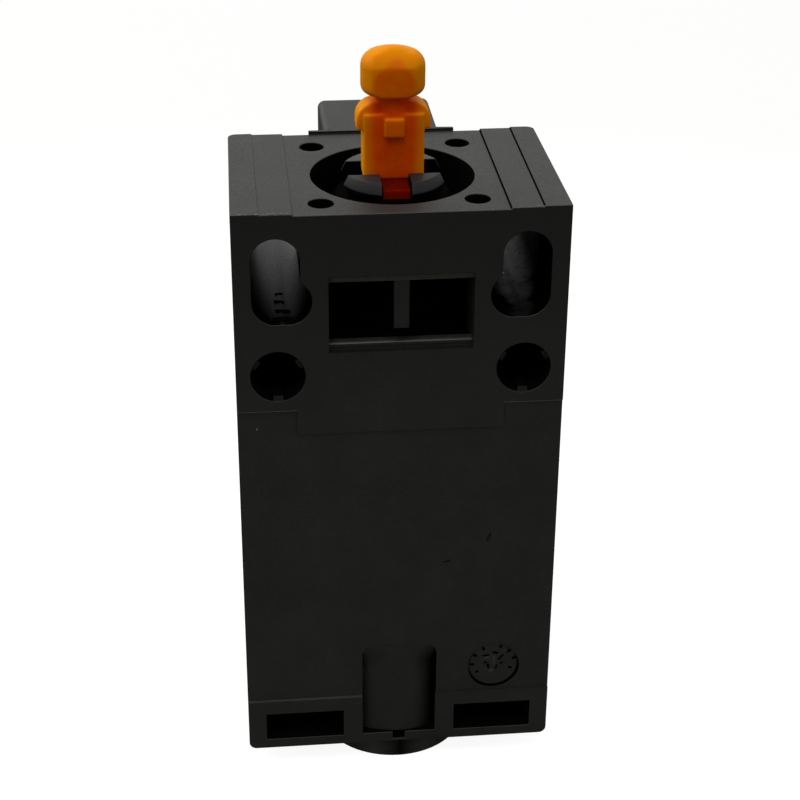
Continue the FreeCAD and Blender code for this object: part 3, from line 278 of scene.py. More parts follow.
@dataclass(frozen=True)
class TranslucentPaintedLightFinish:
    """A coloured plastic that light enters a little way, with painted light: deep on its broad flats and painted
    paler on its top, sides and ribs.
    """

    name: str
    deep: str
    pale: str
    roughness: float
    top_mm: tuple[float, float] = (0.0, 1.0)
    top_share: float = 0.0
    side_mm: tuple[float, float] = (0.0, 1.0)
    side_share: float = 0.0
    rib_mm: tuple[float, float] = (0.0, 1.0)
    rib_share: float = 0.0
    turned_share: float = 0.0
    arch_a_mm: float = 0.0
    specular: float = 0.03
    mottle_mm: float = 1.6
    glow_mm: float = 1.6
    glow_radius: tuple[float, float, float] = (1.0, 0.25, 0.02)
    glow_weight: float = 0.5
    turned_span: tuple[float, float] = (0.95, 0.3)
    cloud_span: tuple[float, float] = (0.35, 0.65)
    cloud_share: float = 0.16
    gloss_swing: float = 0.05

    def material(self) -> bpy.types.Material:
        """Builds the finish: height, distance from the middle, ribs and turned faces each add a share of the pale
        colour, as painted light and shade.

        The height counts as more by a share of the squared distance from the middle, so that its line is an arch.

        Returns:
            The new material.
        """
        made = bpy.data.materials.new(self.name)
        tree = empty_tree(made)
        place = add_node(tree, "ShaderNodeTexCoord").outputs["Object"]
        axes = add_node(tree, "ShaderNodeSeparateXYZ", {"Vector": place})
        facing = add_node(tree, "ShaderNodeSeparateXYZ", {
            "Vector": add_node(tree, "ShaderNodeNewGeometry").outputs["Normal"]})
        aside = add_node(tree, "ShaderNodeMath", {0: axes.outputs["X"]}, operation="ABSOLUTE")
        frontal = add_node(tree, "ShaderNodeMath", {0: facing.outputs["Y"]}, operation="ABSOLUTE")
        square = add_node(tree, "ShaderNodeMath", {0: axes.outputs["X"], 1: axes.outputs["X"]}, operation="MULTIPLY")
        level = add_node(tree, "ShaderNodeMath", {
            0: square.outputs["Value"], 1: self.arch_a_mm / MM, 2: axes.outputs["Z"]}, operation="MULTIPLY_ADD")
        cloud = add_node(tree, "ShaderNodeTexNoise", {
            "Vector": place, "Scale": 1 / (self.mottle_mm * MM), "Detail": 4.0, "Roughness": 0.6})
        tops = [height(mark) for mark in self.top_mm]
        sides = [reach * MM for reach in self.side_mm]
        ribs = [depth * MM for depth in self.rib_mm]
        ramps = ((level.outputs["Value"], tops, self.top_share),
                 (aside.outputs["Value"], sides, self.side_share),
                 (axes.outputs["Y"], ribs, self.rib_share),
                 (frontal.outputs["Value"], self.turned_span, self.turned_share),
                 (cloud.outputs["Fac"], self.cloud_span, self.cloud_share))
        share = None
        for value, (low, high), reach in ramps:
            ramp = add_node(tree, "ShaderNodeMapRange", {
                "Value": value, "From Min": low, "From Max": high, "To Max": reach},
                interpolation_type="SMOOTHSTEP").outputs["Result"]
            share = ramp if share is None else add_node(
                tree, "ShaderNodeMath", {0: share, 1: ramp}, operation="ADD", use_clamp=True).outputs["Value"]
        shade = add_node(tree, "ShaderNodeMix", {
            MIX_FACTOR: share, MIX_A: linear(self.deep), MIX_B: linear(self.pale)}, data_type="RGBA")
        gloss = add_node(tree, "ShaderNodeMapRange", {
            "Value": cloud.outputs["Fac"], "From Min": NOISE_LOW, "From Max": NOISE_HIGH,
            "To Min": self.roughness - self.gloss_swing, "To Max": self.roughness + self.gloss_swing})
        shader = add_node(tree, "ShaderNodeBsdfPrincipled", {
            "Base Color": shade.outputs[MIX_RESULT], "Roughness": gloss.outputs["Result"],
            "Specular IOR Level": self.specular, "Subsurface Weight": self.glow_weight,
            "Subsurface Scale": self.glow_mm * MM, "Subsurface Radius": self.glow_radius})
        add_node(tree, "ShaderNodeOutputMaterial", {"Surface": shader.outputs["BSDF"]})
        return made


@dataclass(frozen=True)
class MetalFinish:
    """A bare or plated metal: fine drawn streaks in its gloss and a slow tarnish."""

    name: str
    colour: str
    tarnish: str
    roughness: float
    streak_mm: float = 0.12
    streak_squeeze: float = 0.12
    streak_depth_mm: float = 0.004
    tarnish_mm: float = 1.8
    tarnish_span: tuple[float, float] = (0.45, 0.75)
    smoother: float = 0.08
    rougher: float = 0.1

    def material(self) -> bpy.types.Material:
        """Builds the finish: noise stretched along Z gives the streaks, a slow noise the tarnish.

        Returns:
            The new material.
        """
        made = bpy.data.materials.new(self.name)
        tree = empty_tree(made)
        place = add_node(tree, "ShaderNodeTexCoord").outputs["Object"]
        slow = add_node(tree, "ShaderNodeTexNoise", {
            "Vector": place, "Scale": 1 / (self.tarnish_mm * MM), "Detail": 6.0, "Roughness": 0.65})
        share = add_node(tree, "ShaderNodeMapRange", {
            "Value": slow.outputs["Fac"], "From Min": self.tarnish_span[0], "From Max": self.tarnish_span[1]})
        shade = add_node(tree, "ShaderNodeMix", {
            MIX_FACTOR: share.outputs["Result"], MIX_A: linear(self.colour), MIX_B: linear(self.tarnish)},
            data_type="RGBA")
        drawn = add_node(tree, "ShaderNodeMapping", {
            "Vector": place, "Scale": (1.0, 1.0, self.streak_squeeze)})
        streaks = add_node(tree, "ShaderNodeTexNoise", {
            "Vector": drawn.outputs["Vector"], "Scale": 1 / (self.streak_mm * MM), "Detail": 3.0})
        gloss = add_node(tree, "ShaderNodeMapRange", {
            "Value": streaks.outputs["Fac"], "From Min": NOISE_LOW, "From Max": NOISE_HIGH,
            "To Min": self.roughness - self.smoother, "To Max": self.roughness + self.rougher})
        bump = add_node(tree, "ShaderNodeBump", {
            "Height": streaks.outputs["Fac"], "Distance": self.streak_depth_mm * MM, "Strength": 1.0})
        shader = add_node(tree, "ShaderNodeBsdfPrincipled", {
            "Base Color": shade.outputs[MIX_RESULT], "Roughness": gloss.outputs["Result"],
            "Normal": bump.outputs["Normal"], "Metallic": 1.0})
        add_node(tree, "ShaderNodeOutputMaterial", {"Surface": shader.outputs["BSDF"]})
        return made


# Glass-filled nylon, spark-eroded mould: charcoal black, matt, a little grey where it is rubbed.
HOUSING_NYLON = MouldedFinish("housing_glass_filled_nylon", "#1b1b19", "#242421", 0.52, specular=0.32,
                              scuff="#474540", scuff_share=0.22)
# The same nylon paler and glossier: a painted highlight on edges, ridges and faces that catch the light.
NYLON_HIGHLIGHT = MouldedFinish("housing_nylon_painted_highlight", "#2a2926", "#38362f", 0.42, specular=0.42,
                           mottle_mm=0.9, grain_depth_mm=0.006)
# The same nylon nearly black and without gloss: painted deep shade in hollows, gaps and dark lines, where the light
# does not reach.
NYLON_DEEP_SHADE = MouldedFinish("housing_nylon_painted_deep_shade", "#060606", "#080808", 0.9, specular=0.01)
# The left slot's floor: painted light in a strip far in, and painted shade round it.
NYLON_BORE = MouldedFinish("housing_nylon_left_slot_painted_light", "#0c0c0c", "#121211", 0.5, specular=0.44,
                           grain_depth_mm=0.003,
                           painted_light=PaintedLight(middle_mm=-10.4, spread=1.7, range_mm=(-1.0, 21.5), wobble_mm=1.0))
# The right slot: painted light in patches along its left part and painted shade on the rest, over a coarse grain.
NYLON_SLOT_PATCHES = MouldedFinish("housing_nylon_right_slot_painted_patches", "#0a0a09", "#262421", 0.5, specular=0.14, mottle_mm=1.6,
                          grain_mm=0.6, grain_depth_mm=0.03, painted_light=PaintedLight(
                              middle_mm=10.8, spread=4.5, range_mm=(-3.5, 13.0), wobble_mm=16.0, patch_mm=2.0))
# The relief's floor, in painted shade that darkens to the right and deeper in, and the paler boss below it, with
# painted shade in its middle.
NYLON_RELIEF = replace(HOUSING_NYLON, name="housing_nylon_relief_painted_shade", scuff=None,
                       painted_light=PaintedLight(middle_mm=-3.6, spread=-0.12, range_mm=(1.85, 0.95), wobble_mm=0.1))
NYLON_BOSS = MouldedFinish("housing_nylon_boss_painted_shade", "#2d2d2a", "#373632", 0.52, specular=0.42,
                           painted_light=PaintedLight(middle_mm=0.2, spread=-1.0, range_mm=(0.0, 3.4), wobble_mm=0.8))
# The raised upper field: painted shade that darkens its colour the higher up.
NYLON_FIELD = replace(HOUSING_NYLON, name="housing_nylon_upper_field_painted_shade", painted_light=PaintedLight(
    middle_mm=0.0, spread=0.0, range_mm=(17.2, -5.0), along="Z", dims_gloss=False))
# The same nylon darker and duller: painted half shade on faces in shade, and the colour of the dark scuffs on the
# panel.
NYLON_SHADE_AND_SCUFFS = MouldedFinish("housing_nylon_painted_half_shade_and_scuffs", "#121211", "#191917", 0.65, specular=0.14)
# Flash and torn edges turn pale; the same finish also paints a highlight along the side steps of the panel.
NYLON_FLASH_AND_HIGHLIGHT = MouldedFinish("housing_nylon_torn_flash_and_painted_highlight", "#5f5c54", "#8d887c", 0.6, specular=0.4, mottle_mm=0.5)
# The cover's nylon comes from another mould, with a slightly finer grain.
COVER_NYLON = MouldedFinish("cover_glass_filled_nylon", "#1b1b19", "#232321", 0.52, specular=0.28, grain_mm=0.18,
                            scuff="#474540", scuff_share=0.2)
# Black acetal is smoother than the nylon round it; painted deep shade darkens its deep core, and painted shade dims
# its collar's slope.
GUIDE_ACETAL = MouldedFinish("guide_black_acetal", "#252524", "#2c2c2b", 0.42, specular=0.3, grain_depth_mm=0.004)
GUIDE_DEEP_SHADE = replace(NYLON_DEEP_SHADE, name="guide_acetal_painted_deep_shade")
GUIDE_SHADED_SLOPE = MouldedFinish("guide_acetal_slope_painted_shade", "#222222", "#292929", 0.5, specular=0.16, grain_depth_mm=0.004)
# Orange acetal lets light in a little way, a real glow under the skin; its red flats and yellow top, sides and ribs
# are painted light and shade.
PLUNGER_ACETAL = TranslucentPaintedLightFinish(
    "plunger_orange_acetal_painted_light", "#ea4600", "#f09000", 0.5, top_mm=(66.5, 67.7), top_share=0.9, side_mm=(1.4, 2.7),
    side_share=0.75, rib_mm=(7.75, 7.3), rib_share=0.35, turned_share=0.35, arch_a_mm=0.36)
# The rod's acetal is a deep red, with painted shade on faces that turn up or aside.
ROD_ACETAL = TranslucentPaintedLightFinish("rod_red_acetal_painted_shade", "#8e1300", "#5c0a00", 0.5, turned_share=1.0)
# Thermoset polyester moulds to an ivory grey or a red brown with a dull skin.
BLOCK_POLYESTER = MouldedFinish("block_polyester", "#c9c2ae", "#bdb5a0", 0.55, grain_mm=0.3, grain_depth_mm=0.01)
CARRIER_POLYESTER = MouldedFinish("carrier_polyester", "#8a3c28", "#7d3523", 0.5, grain_depth_mm=0.008)
# Nitrile rubber: dead matt black.
SEAL_RUBBER = MouldedFinish("seal_nitrile_rubber", "#1d1d1c", "#242423", 0.72, specular=0.3, grain_depth_mm=0.01)
GASKET_RUBBER = MouldedFinish("gasket_nitrile_rubber", "#262625", "#2d2d2c", 0.75, specular=0.3)
# Nickel-washed brass strip, zinc-plated steel, drawn spring wire and fine silver rivets.
TERMINAL_BRASS = MetalFinish("terminal_brass", "#d9b56a", "#b98d45", 0.32)
PLATED_STEEL = MetalFinish("zinc_plated_steel", "#c9ccd0", "#a3a6a8", 0.34)
SPRING_STEEL = MetalFinish("drawn_spring_steel", "#b9babb", "#8e8d8a", 0.28)
CONTACT_SILVER = MetalFinish("contact_silver", "#ebe9e2", "#c9c3b2", 0.25)

Finish = MouldedFinish | TranslucentPaintedLightFinish | MetalFinish

SLOT_FINISHES = {
    "housing_nylon": HOUSING_NYLON, "cover_nylon": COVER_NYLON, "guide_acetal": GUIDE_ACETAL,
    "plunger_acetal": PLUNGER_ACETAL, "rod_acetal": ROD_ACETAL, "block_polyester": BLOCK_POLYESTER,
    "carrier_polyester": CARRIER_POLYESTER, "seal_rubber": SEAL_RUBBER, "gasket_rubber": GASKET_RUBBER,
    "terminal_brass": TERMINAL_BRASS, "plated_steel": PLATED_STEEL, "spring_steel": SPRING_STEEL,
    "contact_silver": CONTACT_SILVER,
}


class Palette:
    """The materials of the scene, each built once."""

    def __init__(self) -> None:
        """Starts with no material built."""
        self.built: dict[str, bpy.types.Material] = {}

    def of(self, finish: Finish) -> bpy.types.Material:
        """Gives a finish's material, building it at its first use.

        Args:
            finish: the finish that a piece asks for.

        Returns:
            The one material that is built from it.
        """
        if finish.name not in self.built:
            self.built[finish.name] = finish.material()
        return self.built[finish.name]


PALETTE = Palette()


def slot_of(node: str) -> str:
    """Looks up the material slot that the record gives a CAD node."""
    rows = frame["record"]["subparts"]
    return next(row["material_slot"] for row in rows if row["node"] == node)


def place_piece(piece: bpy.types.Object, body: Body) -> bpy.types.Object:
    """Lets a piece ride on a body and reports it.

    Args:
        piece: the new object, already where it belongs.
        body: the group that carries it.

    Returns:
        The same object.
    """
    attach(piece, body.value)
    LOG.info("%s: %d faces on %s", piece.name, len(piece.data.polygons), body.value)
    return piece


def new_object(name: str, points: np.ndarray, faces: list[np.ndarray], finish: Finish,
               smooth_deg: float = 40.0) -> bpy.types.Object:
    """Makes a closed mesh object at the origin from arrays of points and faces.

    Args:
        name: the piece's name.
        points: one row of X, Y, Z in metres for each vertex.
        faces: arrays with one row of vertex numbers for each quad or triangle.
        finish: the piece's finish.
        smooth_deg: edges that turn by more than this stay sharp.

    Returns:
        The new object, linked to the scene, with its poles merged and its faces turned outwards.
    """
    mesh = bpy.data.meshes.new(name)
    mesh.from_pydata(points.reshape(-1, 3).tolist(), [], [row for rows in faces for row in rows.tolist()])
    work = bmesh.new()
    work.from_mesh(mesh)
    bmesh.ops.remove_doubles(work, verts=work.verts, dist=WELD_MM * MM)
    bmesh.ops.recalc_face_normals(work, faces=work.faces)
    work.to_mesh(mesh)
    work.free()
    mesh.shade_smooth()
    mesh.set_sharp_from_angle(angle=math.radians(smooth_deg))
    mesh.materials.append(PALETTE.of(finish))
    piece = bpy.data.objects.new(name, mesh)
    bpy.context.scene.collection.objects.link(piece)
    return piece


def merged_copy(node: str, name: str, join_flat: bool) -> bpy.types.Object:
    """Copies a CAD node's mesh into a new object, with its loose triangles merged.

    Args:
        node: the CAD node.
        name: the new piece's name.
        join_flat: turns the triangles of each flat face into one face.

    Returns:
        The new object, linked to the scene.
    """
    work = bmesh.new()
    work.from_mesh(frame["nodes"][node].data)
    bmesh.ops.remove_doubles(work, verts=work.verts, dist=NODE_WELD_MM * MM)
    if join_flat:
        bmesh.ops.dissolve_limit(work, angle_limit=math.radians(FLAT_DEG), verts=work.verts, edges=work.edges)
    merged = bpy.data.meshes.new("merged")
    work.to_mesh(merged)
    work.free()
    corners = np.zeros(len(merged.vertices) * 3)
    merged.vertices.foreach_get("co", corners)
    mesh = bpy.data.meshes.new(name)
    mesh.from_pydata(corners.reshape(-1, 3).tolist(), [], [tuple(face.vertices) for face in merged.polygons])
    bpy.data.meshes.remove(merged)
    mesh.shade_smooth()
    piece = bpy.data.objects.new(name, mesh)
    bpy.context.scene.collection.objects.link(piece)
    return piece


def settle(piece: bpy.types.Object, node: str) -> None:
    """Applies a piece's modifiers and clips the result to the box of the node that it stands for.

    Args:
        piece: the piece with its modifiers.
        node: the CAD node that it replaces.
    """
    graph = bpy.context.evaluated_depsgraph_get()
    done = bpy.data.meshes.new_from_object(piece.evaluated_get(graph), preserve_all_data_layers=True, depsgraph=graph)
    low, high = (np.array(corner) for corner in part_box(node))
    corners = np.zeros(len(done.vertices) * 3)
    done.vertices.foreach_get("co", corners)
    done.vertices.foreach_set("co", np.clip(corners.reshape(-1, 3), low, high).ravel())
    draft = piece.data
    piece.modifiers.clear()
    piece.data = done
    bpy.data.meshes.remove(draft)
    done.name = piece.name


def grid_faces(rows: int, columns: int, wrap_columns: bool = False, wrap_rows: bool = False) -> np.ndarray:
    """Numbers the quads of a grid of points, row by row.

    Args:
        rows: points along the first parameter.
        columns: points along the second parameter.
        wrap_columns: joins the last column to the first.
        wrap_rows: joins the last row to the first.

    Returns:
        One row of four vertex numbers for each quad.
    """
    row = np.arange(rows if wrap_rows else rows - 1)
    column = np.arange(columns if wrap_columns else columns - 1)
    r, c = np.meshgrid(row, column, indexing="ij")
    next_r, next_c = (r + 1) % rows, (c + 1) % columns
    corners = (r * columns + c, r * columns + next_c, next_r * columns + next_c, next_r * columns + c)
    return np.stack(corners, axis=-1).reshape(-1, 4)


def tube(line: np.ndarray, first: np.ndarray, second: np.ndarray, sizes: np.ndarray,
         sides: int) -> tuple[np.ndarray, list[np.ndarray]]:
    """Carries an ellipse along a line and closes its two ends with fans.

    Args:
        line: the points along the middle.
        first: the direction of the ellipse's first axis at each point.
        second: the direction of its second axis at each point.
        sizes: the two half axes at each point.
        sides: points round the ellipse.

    Returns:
        The points and the arrays of faces.
    """
    around = np.linspace(0.0, 2 * np.pi, sides, endpoint=False)
    ring = (np.cos(around)[None, :, None] * (first * sizes[:, :1])[:, None, :]
            + np.sin(around)[None, :, None] * (second * sizes[:, 1:])[:, None, :])
    wall = (line[:, None, :] + ring).reshape(-1, 3)
    points = np.concatenate((wall, line[:1], line[-1:]))
    step = np.arange(sides)
    beside = (step + 1) % sides
    last = (len(line) - 1) * sides
    start_fan = np.stack((step, beside, np.full(sides, len(wall))), axis=1)
    end_fan = np.stack((last + step, last + beside, np.full(sides, len(wall) + 1)), axis=1)
    return points, [grid_faces(len(line), sides, wrap_columns=True), start_fan, end_fan]


@dataclass(frozen=True)
class Zone:
    """A box whose faces take another finish: X and Y in millimetres, heights above the foot."""

    finish: Finish
    low_mm: tuple[float, float, float]
    high_mm: tuple[float, float, float]

    def holds(self, centres: np.ndarray) -> np.ndarray:
        """Compares face centres with the two corners of the box.

        Args:
            centres: one row of X, Y, Z in metres for each face.

        Returns:
            For each row, whether it lies in the box.
        """
        shift = np.array((0.0, 0.0, STUD_HEIGHT_MM))
        low, high = ((np.array(corner) - shift) * MM for corner in (self.low_mm, self.high_mm))
        return np.all((centres >= low) & (centres <= high), axis=1)


def both_sides(finish: Finish, low_mm: tuple[float, float, float],
               high_mm: tuple[float, float, float]) -> tuple[Zone, Zone]:
    """Mirrors a zone on the right by changing the signs of its X.

    Args:
        finish: the finish of both.
        low_mm: the right zone's low corner.
        high_mm: the right zone's high corner.

    Returns:
        The zone on the right and its mirror image on the left.
    """
    return (Zone(finish, low_mm, high_mm),
            Zone(finish, (-high_mm[0], *low_mm[1:]), (-low_mm[0], *high_mm[1:])))


@dataclass
class SoftenedNode:
    """A CAD node shown through a copy whose sharp edges are rounded, as moulding and handling leave them."""

    node: str
    body: Body
    width_mm: float
    sharp_deg: float = 34.0
    segments: int = 2
    zones: tuple[Zone, ...] = ()

    def build(self) -> bpy.types.Object:
        """Copies the node with its flat faces joined, rounds the sharp edges and paints the zones.

        Returns:
            The new piece, which replaces the node.
        """
        piece = merged_copy(self.node, f"{self.node}_moulding", True)
        finish = SLOT_FINISHES[slot_of(self.node)]
        for layer in (finish, *(zone.finish for zone in self.zones)):
            piece.data.materials.append(PALETTE.of(layer))
        piece.data.set_sharp_from_angle(angle=math.radians(self.sharp_deg))
        bevel = piece.modifiers.new("edge_round", "BEVEL")
        bevel.width = self.width_mm * MM
        bevel.segments = self.segments
        bevel.limit_method = "ANGLE"
        bevel.angle_limit = math.radians(self.sharp_deg)
        bevel.use_clamp_overlap = False
        piece.modifiers.new("flat_faces", "WEIGHTED_NORMAL")
        settle(piece, self.node)
        self.paint_zones(piece.data)
        place_piece(piece, self.body)
        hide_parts(self.node)
        return piece

    def paint_zones(self, mesh: bpy.types.Mesh) -> None:
        """Gives faces whose centres lie in a zone its finish. Where zones overlap, the last one holds.

        Args:
            mesh: the piece's mesh, with one material for each zone after its own.
        """
        centres = np.zeros(len(mesh.polygons) * 3)
        mesh.polygons.foreach_get("center", centres)
        layers = np.zeros(len(mesh.polygons), dtype=np.int32)
        mesh.polygons.foreach_get("material_index", layers)
        for layer, zone in enumerate(self.zones, start=1):
            layers[zone.holds(centres.reshape(-1, 3))] = layer
        mesh.polygons.foreach_set("material_index", layers)


@dataclass
class EasedNode:
    """A CAD node shown through an evenly remeshed copy with all its corners eased, as on a soft moulding."""

    node: str
    body: Body
    voxel_mm: float = 0.07
    pull: float = 0.5
    passes: int = 34

    def build(self) -> bpy.types.Object:
        """Remeshes a copy of the node and averages its points, so that corners turn round.

        Returns:
            The new piece, which replaces the node.
        """
        piece = merged_copy(self.node, f"{self.node}_moulding", False)
        piece.data.materials.append(PALETTE.of(SLOT_FINISHES[slot_of(self.node)]))
        even = piece.modifiers.new("even_mesh", "REMESH")
        even.mode = "VOXEL"
        even.voxel_size = self.voxel_mm * MM
        even.use_smooth_shade = True
        ease = piece.modifiers.new("eased_corners", "SMOOTH")
        ease.factor = self.pull
        ease.iterations = self.passes
        settle(piece, self.node)
        place_piece(piece, self.body)
        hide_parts(self.node)
        return piece


@dataclass
class CoilSpring:
    """A compression spring of round wire with closed end turns."""

    node: str
    body: Body
    radius_mm: float
    wire_mm: float
    low_mm: float
    high_mm: float
    turns: float
    fixed_mm: float | None = None
    pressed_share: float = 1.0
    closed_turns: float = 0.9
    steps_a_turn: int = 40
    sides: int = 12

    def build(self) -> bpy.types.Object:
        """Carries a circle along a helix whose end turns lie a wire's thickness apart.

        Returns:
            The spring, which replaces its node.
        """
        total = self.turns + 2 * self.closed_turns
        turn = np.linspace(0.0, total, int(total * self.steps_a_turn))
        low, high = self.low_mm + self.wire_mm, self.high_mm - self.wire_mm
        lead = 2 * self.wire_mm * self.closed_turns
        knots = (0.0, self.closed_turns, total - self.closed_turns, total)
        level = np.interp(turn, knots, (low, low + lead, high - lead, high))
        angle = 2 * np.pi * turn
        out = np.stack((np.cos(angle), np.sin(angle), np.zeros_like(angle)), axis=1)
        line = self.radius_mm * out
        line[:, 1] += PLUNGER_Y_MM
        line[:, 2] = level - STUD_HEIGHT_MM
        along = np.gradient(line, axis=0)
        along /= np.linalg.norm(along, axis=1, keepdims=True)
        aside = np.cross(along, out)
        points, faces = tube(line * MM, out, aside, np.full((len(turn), 2), self.wire_mm * MM), self.sides)
        piece = new_object(f"{self.node}_wire", points, faces, SPRING_STEEL, smooth_deg=60.0)
        place_piece(piece, self.body)
        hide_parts(self.node)
        if self.fixed_mm is not None:
            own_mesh(piece)
        return piece


@dataclass
class ThreadRidge:
    """The ridge of a screw thread on the wall of a round upright hole."""

    name: str
    body: Body
    slot: str
    finish: Finish
    axis_y_mm: float
    wall_mm: float
    depth_mm: float
    pitch_mm: float
    low_mm: float
    high_mm: float
    sunk_mm: float = 0.05
    root_share: float = 0.44
    crest_share: float = 0.07
    fade_turns: float = 0.5
    least_share: float = 0.02
    steps_a_turn: int = 48

    def build(self) -> bpy.types.Object:
        """Carries a flat-crested section along a helix on the wall, fading out over half a turn at its ends.

        Returns:
            The ridge, sunk a little into the wall.
        """
        total = (self.high_mm - self.low_mm) / self.pitch_mm
        turn = np.linspace(0.0, total, int(total * self.steps_a_turn))
        angle = 2 * np.pi * turn
        out = np.stack((np.cos(angle), np.sin(angle), np.zeros_like(angle)), axis=1)
        fade = np.clip(np.minimum(turn, total - turn) / self.fade_turns, self.least_share, 1.0)
        root, crest = self.root_share, self.crest_share
        section = np.array(((-self.sunk_mm, -root), (self.depth_mm, -crest),
                            (self.depth_mm, crest), (-self.sunk_mm, root)))
        inward = self.wall_mm - np.where(section[:, 0] > 0, section[:, 0] * fade[:, None], section[:, 0])
        rise = section[:, 1] * self.pitch_mm * fade[:, None]
        points = out[:, None, :] * inward[:, :, None]
        points[:, :, 1] += self.axis_y_mm
        points[:, :, 2] += self.low_mm - STUD_HEIGHT_MM + (turn * self.pitch_mm)[:, None] + rise
        cap = np.arange(len(section))[None]
        faces = [grid_faces(len(turn), len(section), wrap_columns=True), cap,
                 cap + (len(turn) - 1) * len(section)]
        piece = new_object(self.name, points * MM, faces, self.finish, smooth_deg=30.0)
        return place_piece(piece, self.body)


@dataclass
class ReliefBlend:
    """The scooped upper end of the relief over the cable entry, which runs out into the panel."""

    half_mm: float = 3.56
    top_mm: float = 11.52
    low_mm: float = 8.6
    field_y_mm: float = 0.205
    boss_y_mm: float = 7.4
    boss_radius_mm: float = 7.2
    sunk_mm: float = 0.3
    columns: int = 57
    rows: int = 25

    def build(self) -> bpy.types.Object:
        """Blends the panel's plane into the boss's cylinder by a smooth step down the relief.

        Returns:
            The closed slab, sunk into the cylinder behind.
        """
        across = np.linspace(-self.half_mm, self.half_mm, self.columns)
        fall = np.linspace(0.0, 1.0, self.rows)
        level = self.top_mm + (self.low_mm - self.top_mm) * fall
        floor = self.boss_y_mm - np.sqrt(self.boss_radius_mm ** 2 - across ** 2)
        step = fall * fall * (3.0 - 2.0 * fall)
        front = self.field_y_mm + np.maximum(floor - self.field_y_mm, 0.0)[:, None] * step
        back = np.broadcast_to(floor[:, None] + self.sunk_mm, front.shape)
        depth = np.concatenate((front, back[:, ::-1]), axis=1)
        heights = np.broadcast_to(np.concatenate((level, level[::-1])) - STUD_HEIGHT_MM, depth.shape)
        points = np.stack((np.broadcast_to(across[:, None], depth.shape), depth, heights), axis=-1)
        rim = np.arange(depth.shape[1])[None]
        faces = [grid_faces(*depth.shape, wrap_columns=True), rim, rim + (len(across) - 1) * depth.shape[1]]
        piece = new_object("relief_blend", points * MM, faces, NYLON_RELIEF)
        return place_piece(piece, Body.BASE)


@dataclass
class FlatBars:
    """Small rounded bars that lie on a face of the housing."""

    name: str
    finish: Finish
    origin_mm: tuple[float, float, float]
    up: tuple[float, float, float]
    rows: tuple[tuple[float, float, float, float, float], ...]
    rise_mm: float = 0.03
    squareness: float = 0.6
    rings: int = 9
    sides: int = 20

    def build(self) -> bpy.types.Object:
        """Places one flattened superellipsoid for each row: across, up, turn, half length and half width.

        Returns:
            One piece with all the bars.
        """
        across, along, turn, half, wide = (column[:, None, None] for column in np.array(self.rows).T)
        u, v = np.meshgrid(np.linspace(-np.pi / 2, np.pi / 2, self.rings),
                           np.linspace(0, 2 * np.pi, self.sides, endpoint=False), indexing="ij")
        flat = np.cos(u) ** self.squareness
        far = half * flat * np.sign(np.cos(v)) * np.abs(np.cos(v)) ** self.squareness
        side = wide * flat * np.sign(np.sin(v)) * np.abs(np.sin(v)) ** self.squareness
        cos, sin = np.cos(np.radians(turn)), np.sin(np.radians(turn))
        first, second = np.array((1.0, 0.0, 0.0)), np.array(self.up)
        points = (np.array(self.origin_mm) - (0.0, 0.0, STUD_HEIGHT_MM)
                  + (across + far * cos - side * sin)[..., None] * first
                  + (along + far * sin + side * cos)[..., None] * second
                  + (self.rise_mm * np.sin(u))[..., None] * np.cross(first, second))
        one = grid_faces(*u.shape, wrap_columns=True)
        faces = [(one[None] + np.arange(len(self.rows))[:, None, None] * u.size).reshape(-1, 4)]
        piece = new_object(self.name, points * MM, faces, self.finish, smooth_deg=60.0)
        return place_piece(piece, Body.BASE)


@dataclass
class InsertShadowRing:
    """A painted shadow round the mould's changeable insert, widest below, where the raised insert shades the field.
    """

    x_mm: float = 9.2
    z_mm: float = 8.6
    radius_mm: float = 2.35
    field_y_mm: float = 0.2
    lean_rad: float = 0.3
    lift: float = 0.3
    shift_mm: float = 0.16
    thin_mm: float = 0.015
    wide_mm: float = 0.19
    rise_mm: float = 0.012
    steps: int = 128
    sides: int = 10

    def build(self) -> bpy.types.Object:
        """Carries a flat ellipse round the insert, wide below and thin above.

        Returns:
            The ring of painted shadow.
        """
        angle = np.linspace(0, 2 * np.pi, self.steps, endpoint=False)
        lower = np.clip(self.lift - np.sin(angle - self.lean_rad), 0.0, 1.0)[:, None]
        around = np.linspace(0, 2 * np.pi, self.sides, endpoint=False)
        reach = self.radius_mm + self.shift_mm * lower + (self.thin_mm + self.wide_mm * lower) * np.cos(around)
        points = np.stack((self.x_mm + reach * np.cos(angle)[:, None],
                           self.field_y_mm + np.broadcast_to(self.rise_mm * np.sin(around), reach.shape),
                           self.z_mm - STUD_HEIGHT_MM + reach * np.sin(angle)[:, None]), axis=-1)
        faces = [grid_faces(len(angle), len(around), wrap_columns=True, wrap_rows=True)]
        piece = new_object("mould_mark_painted_shadow", points * MM, faces, NYLON_DEEP_SHADE, smooth_deg=70.0)
        return place_piece(piece, Body.BASE)


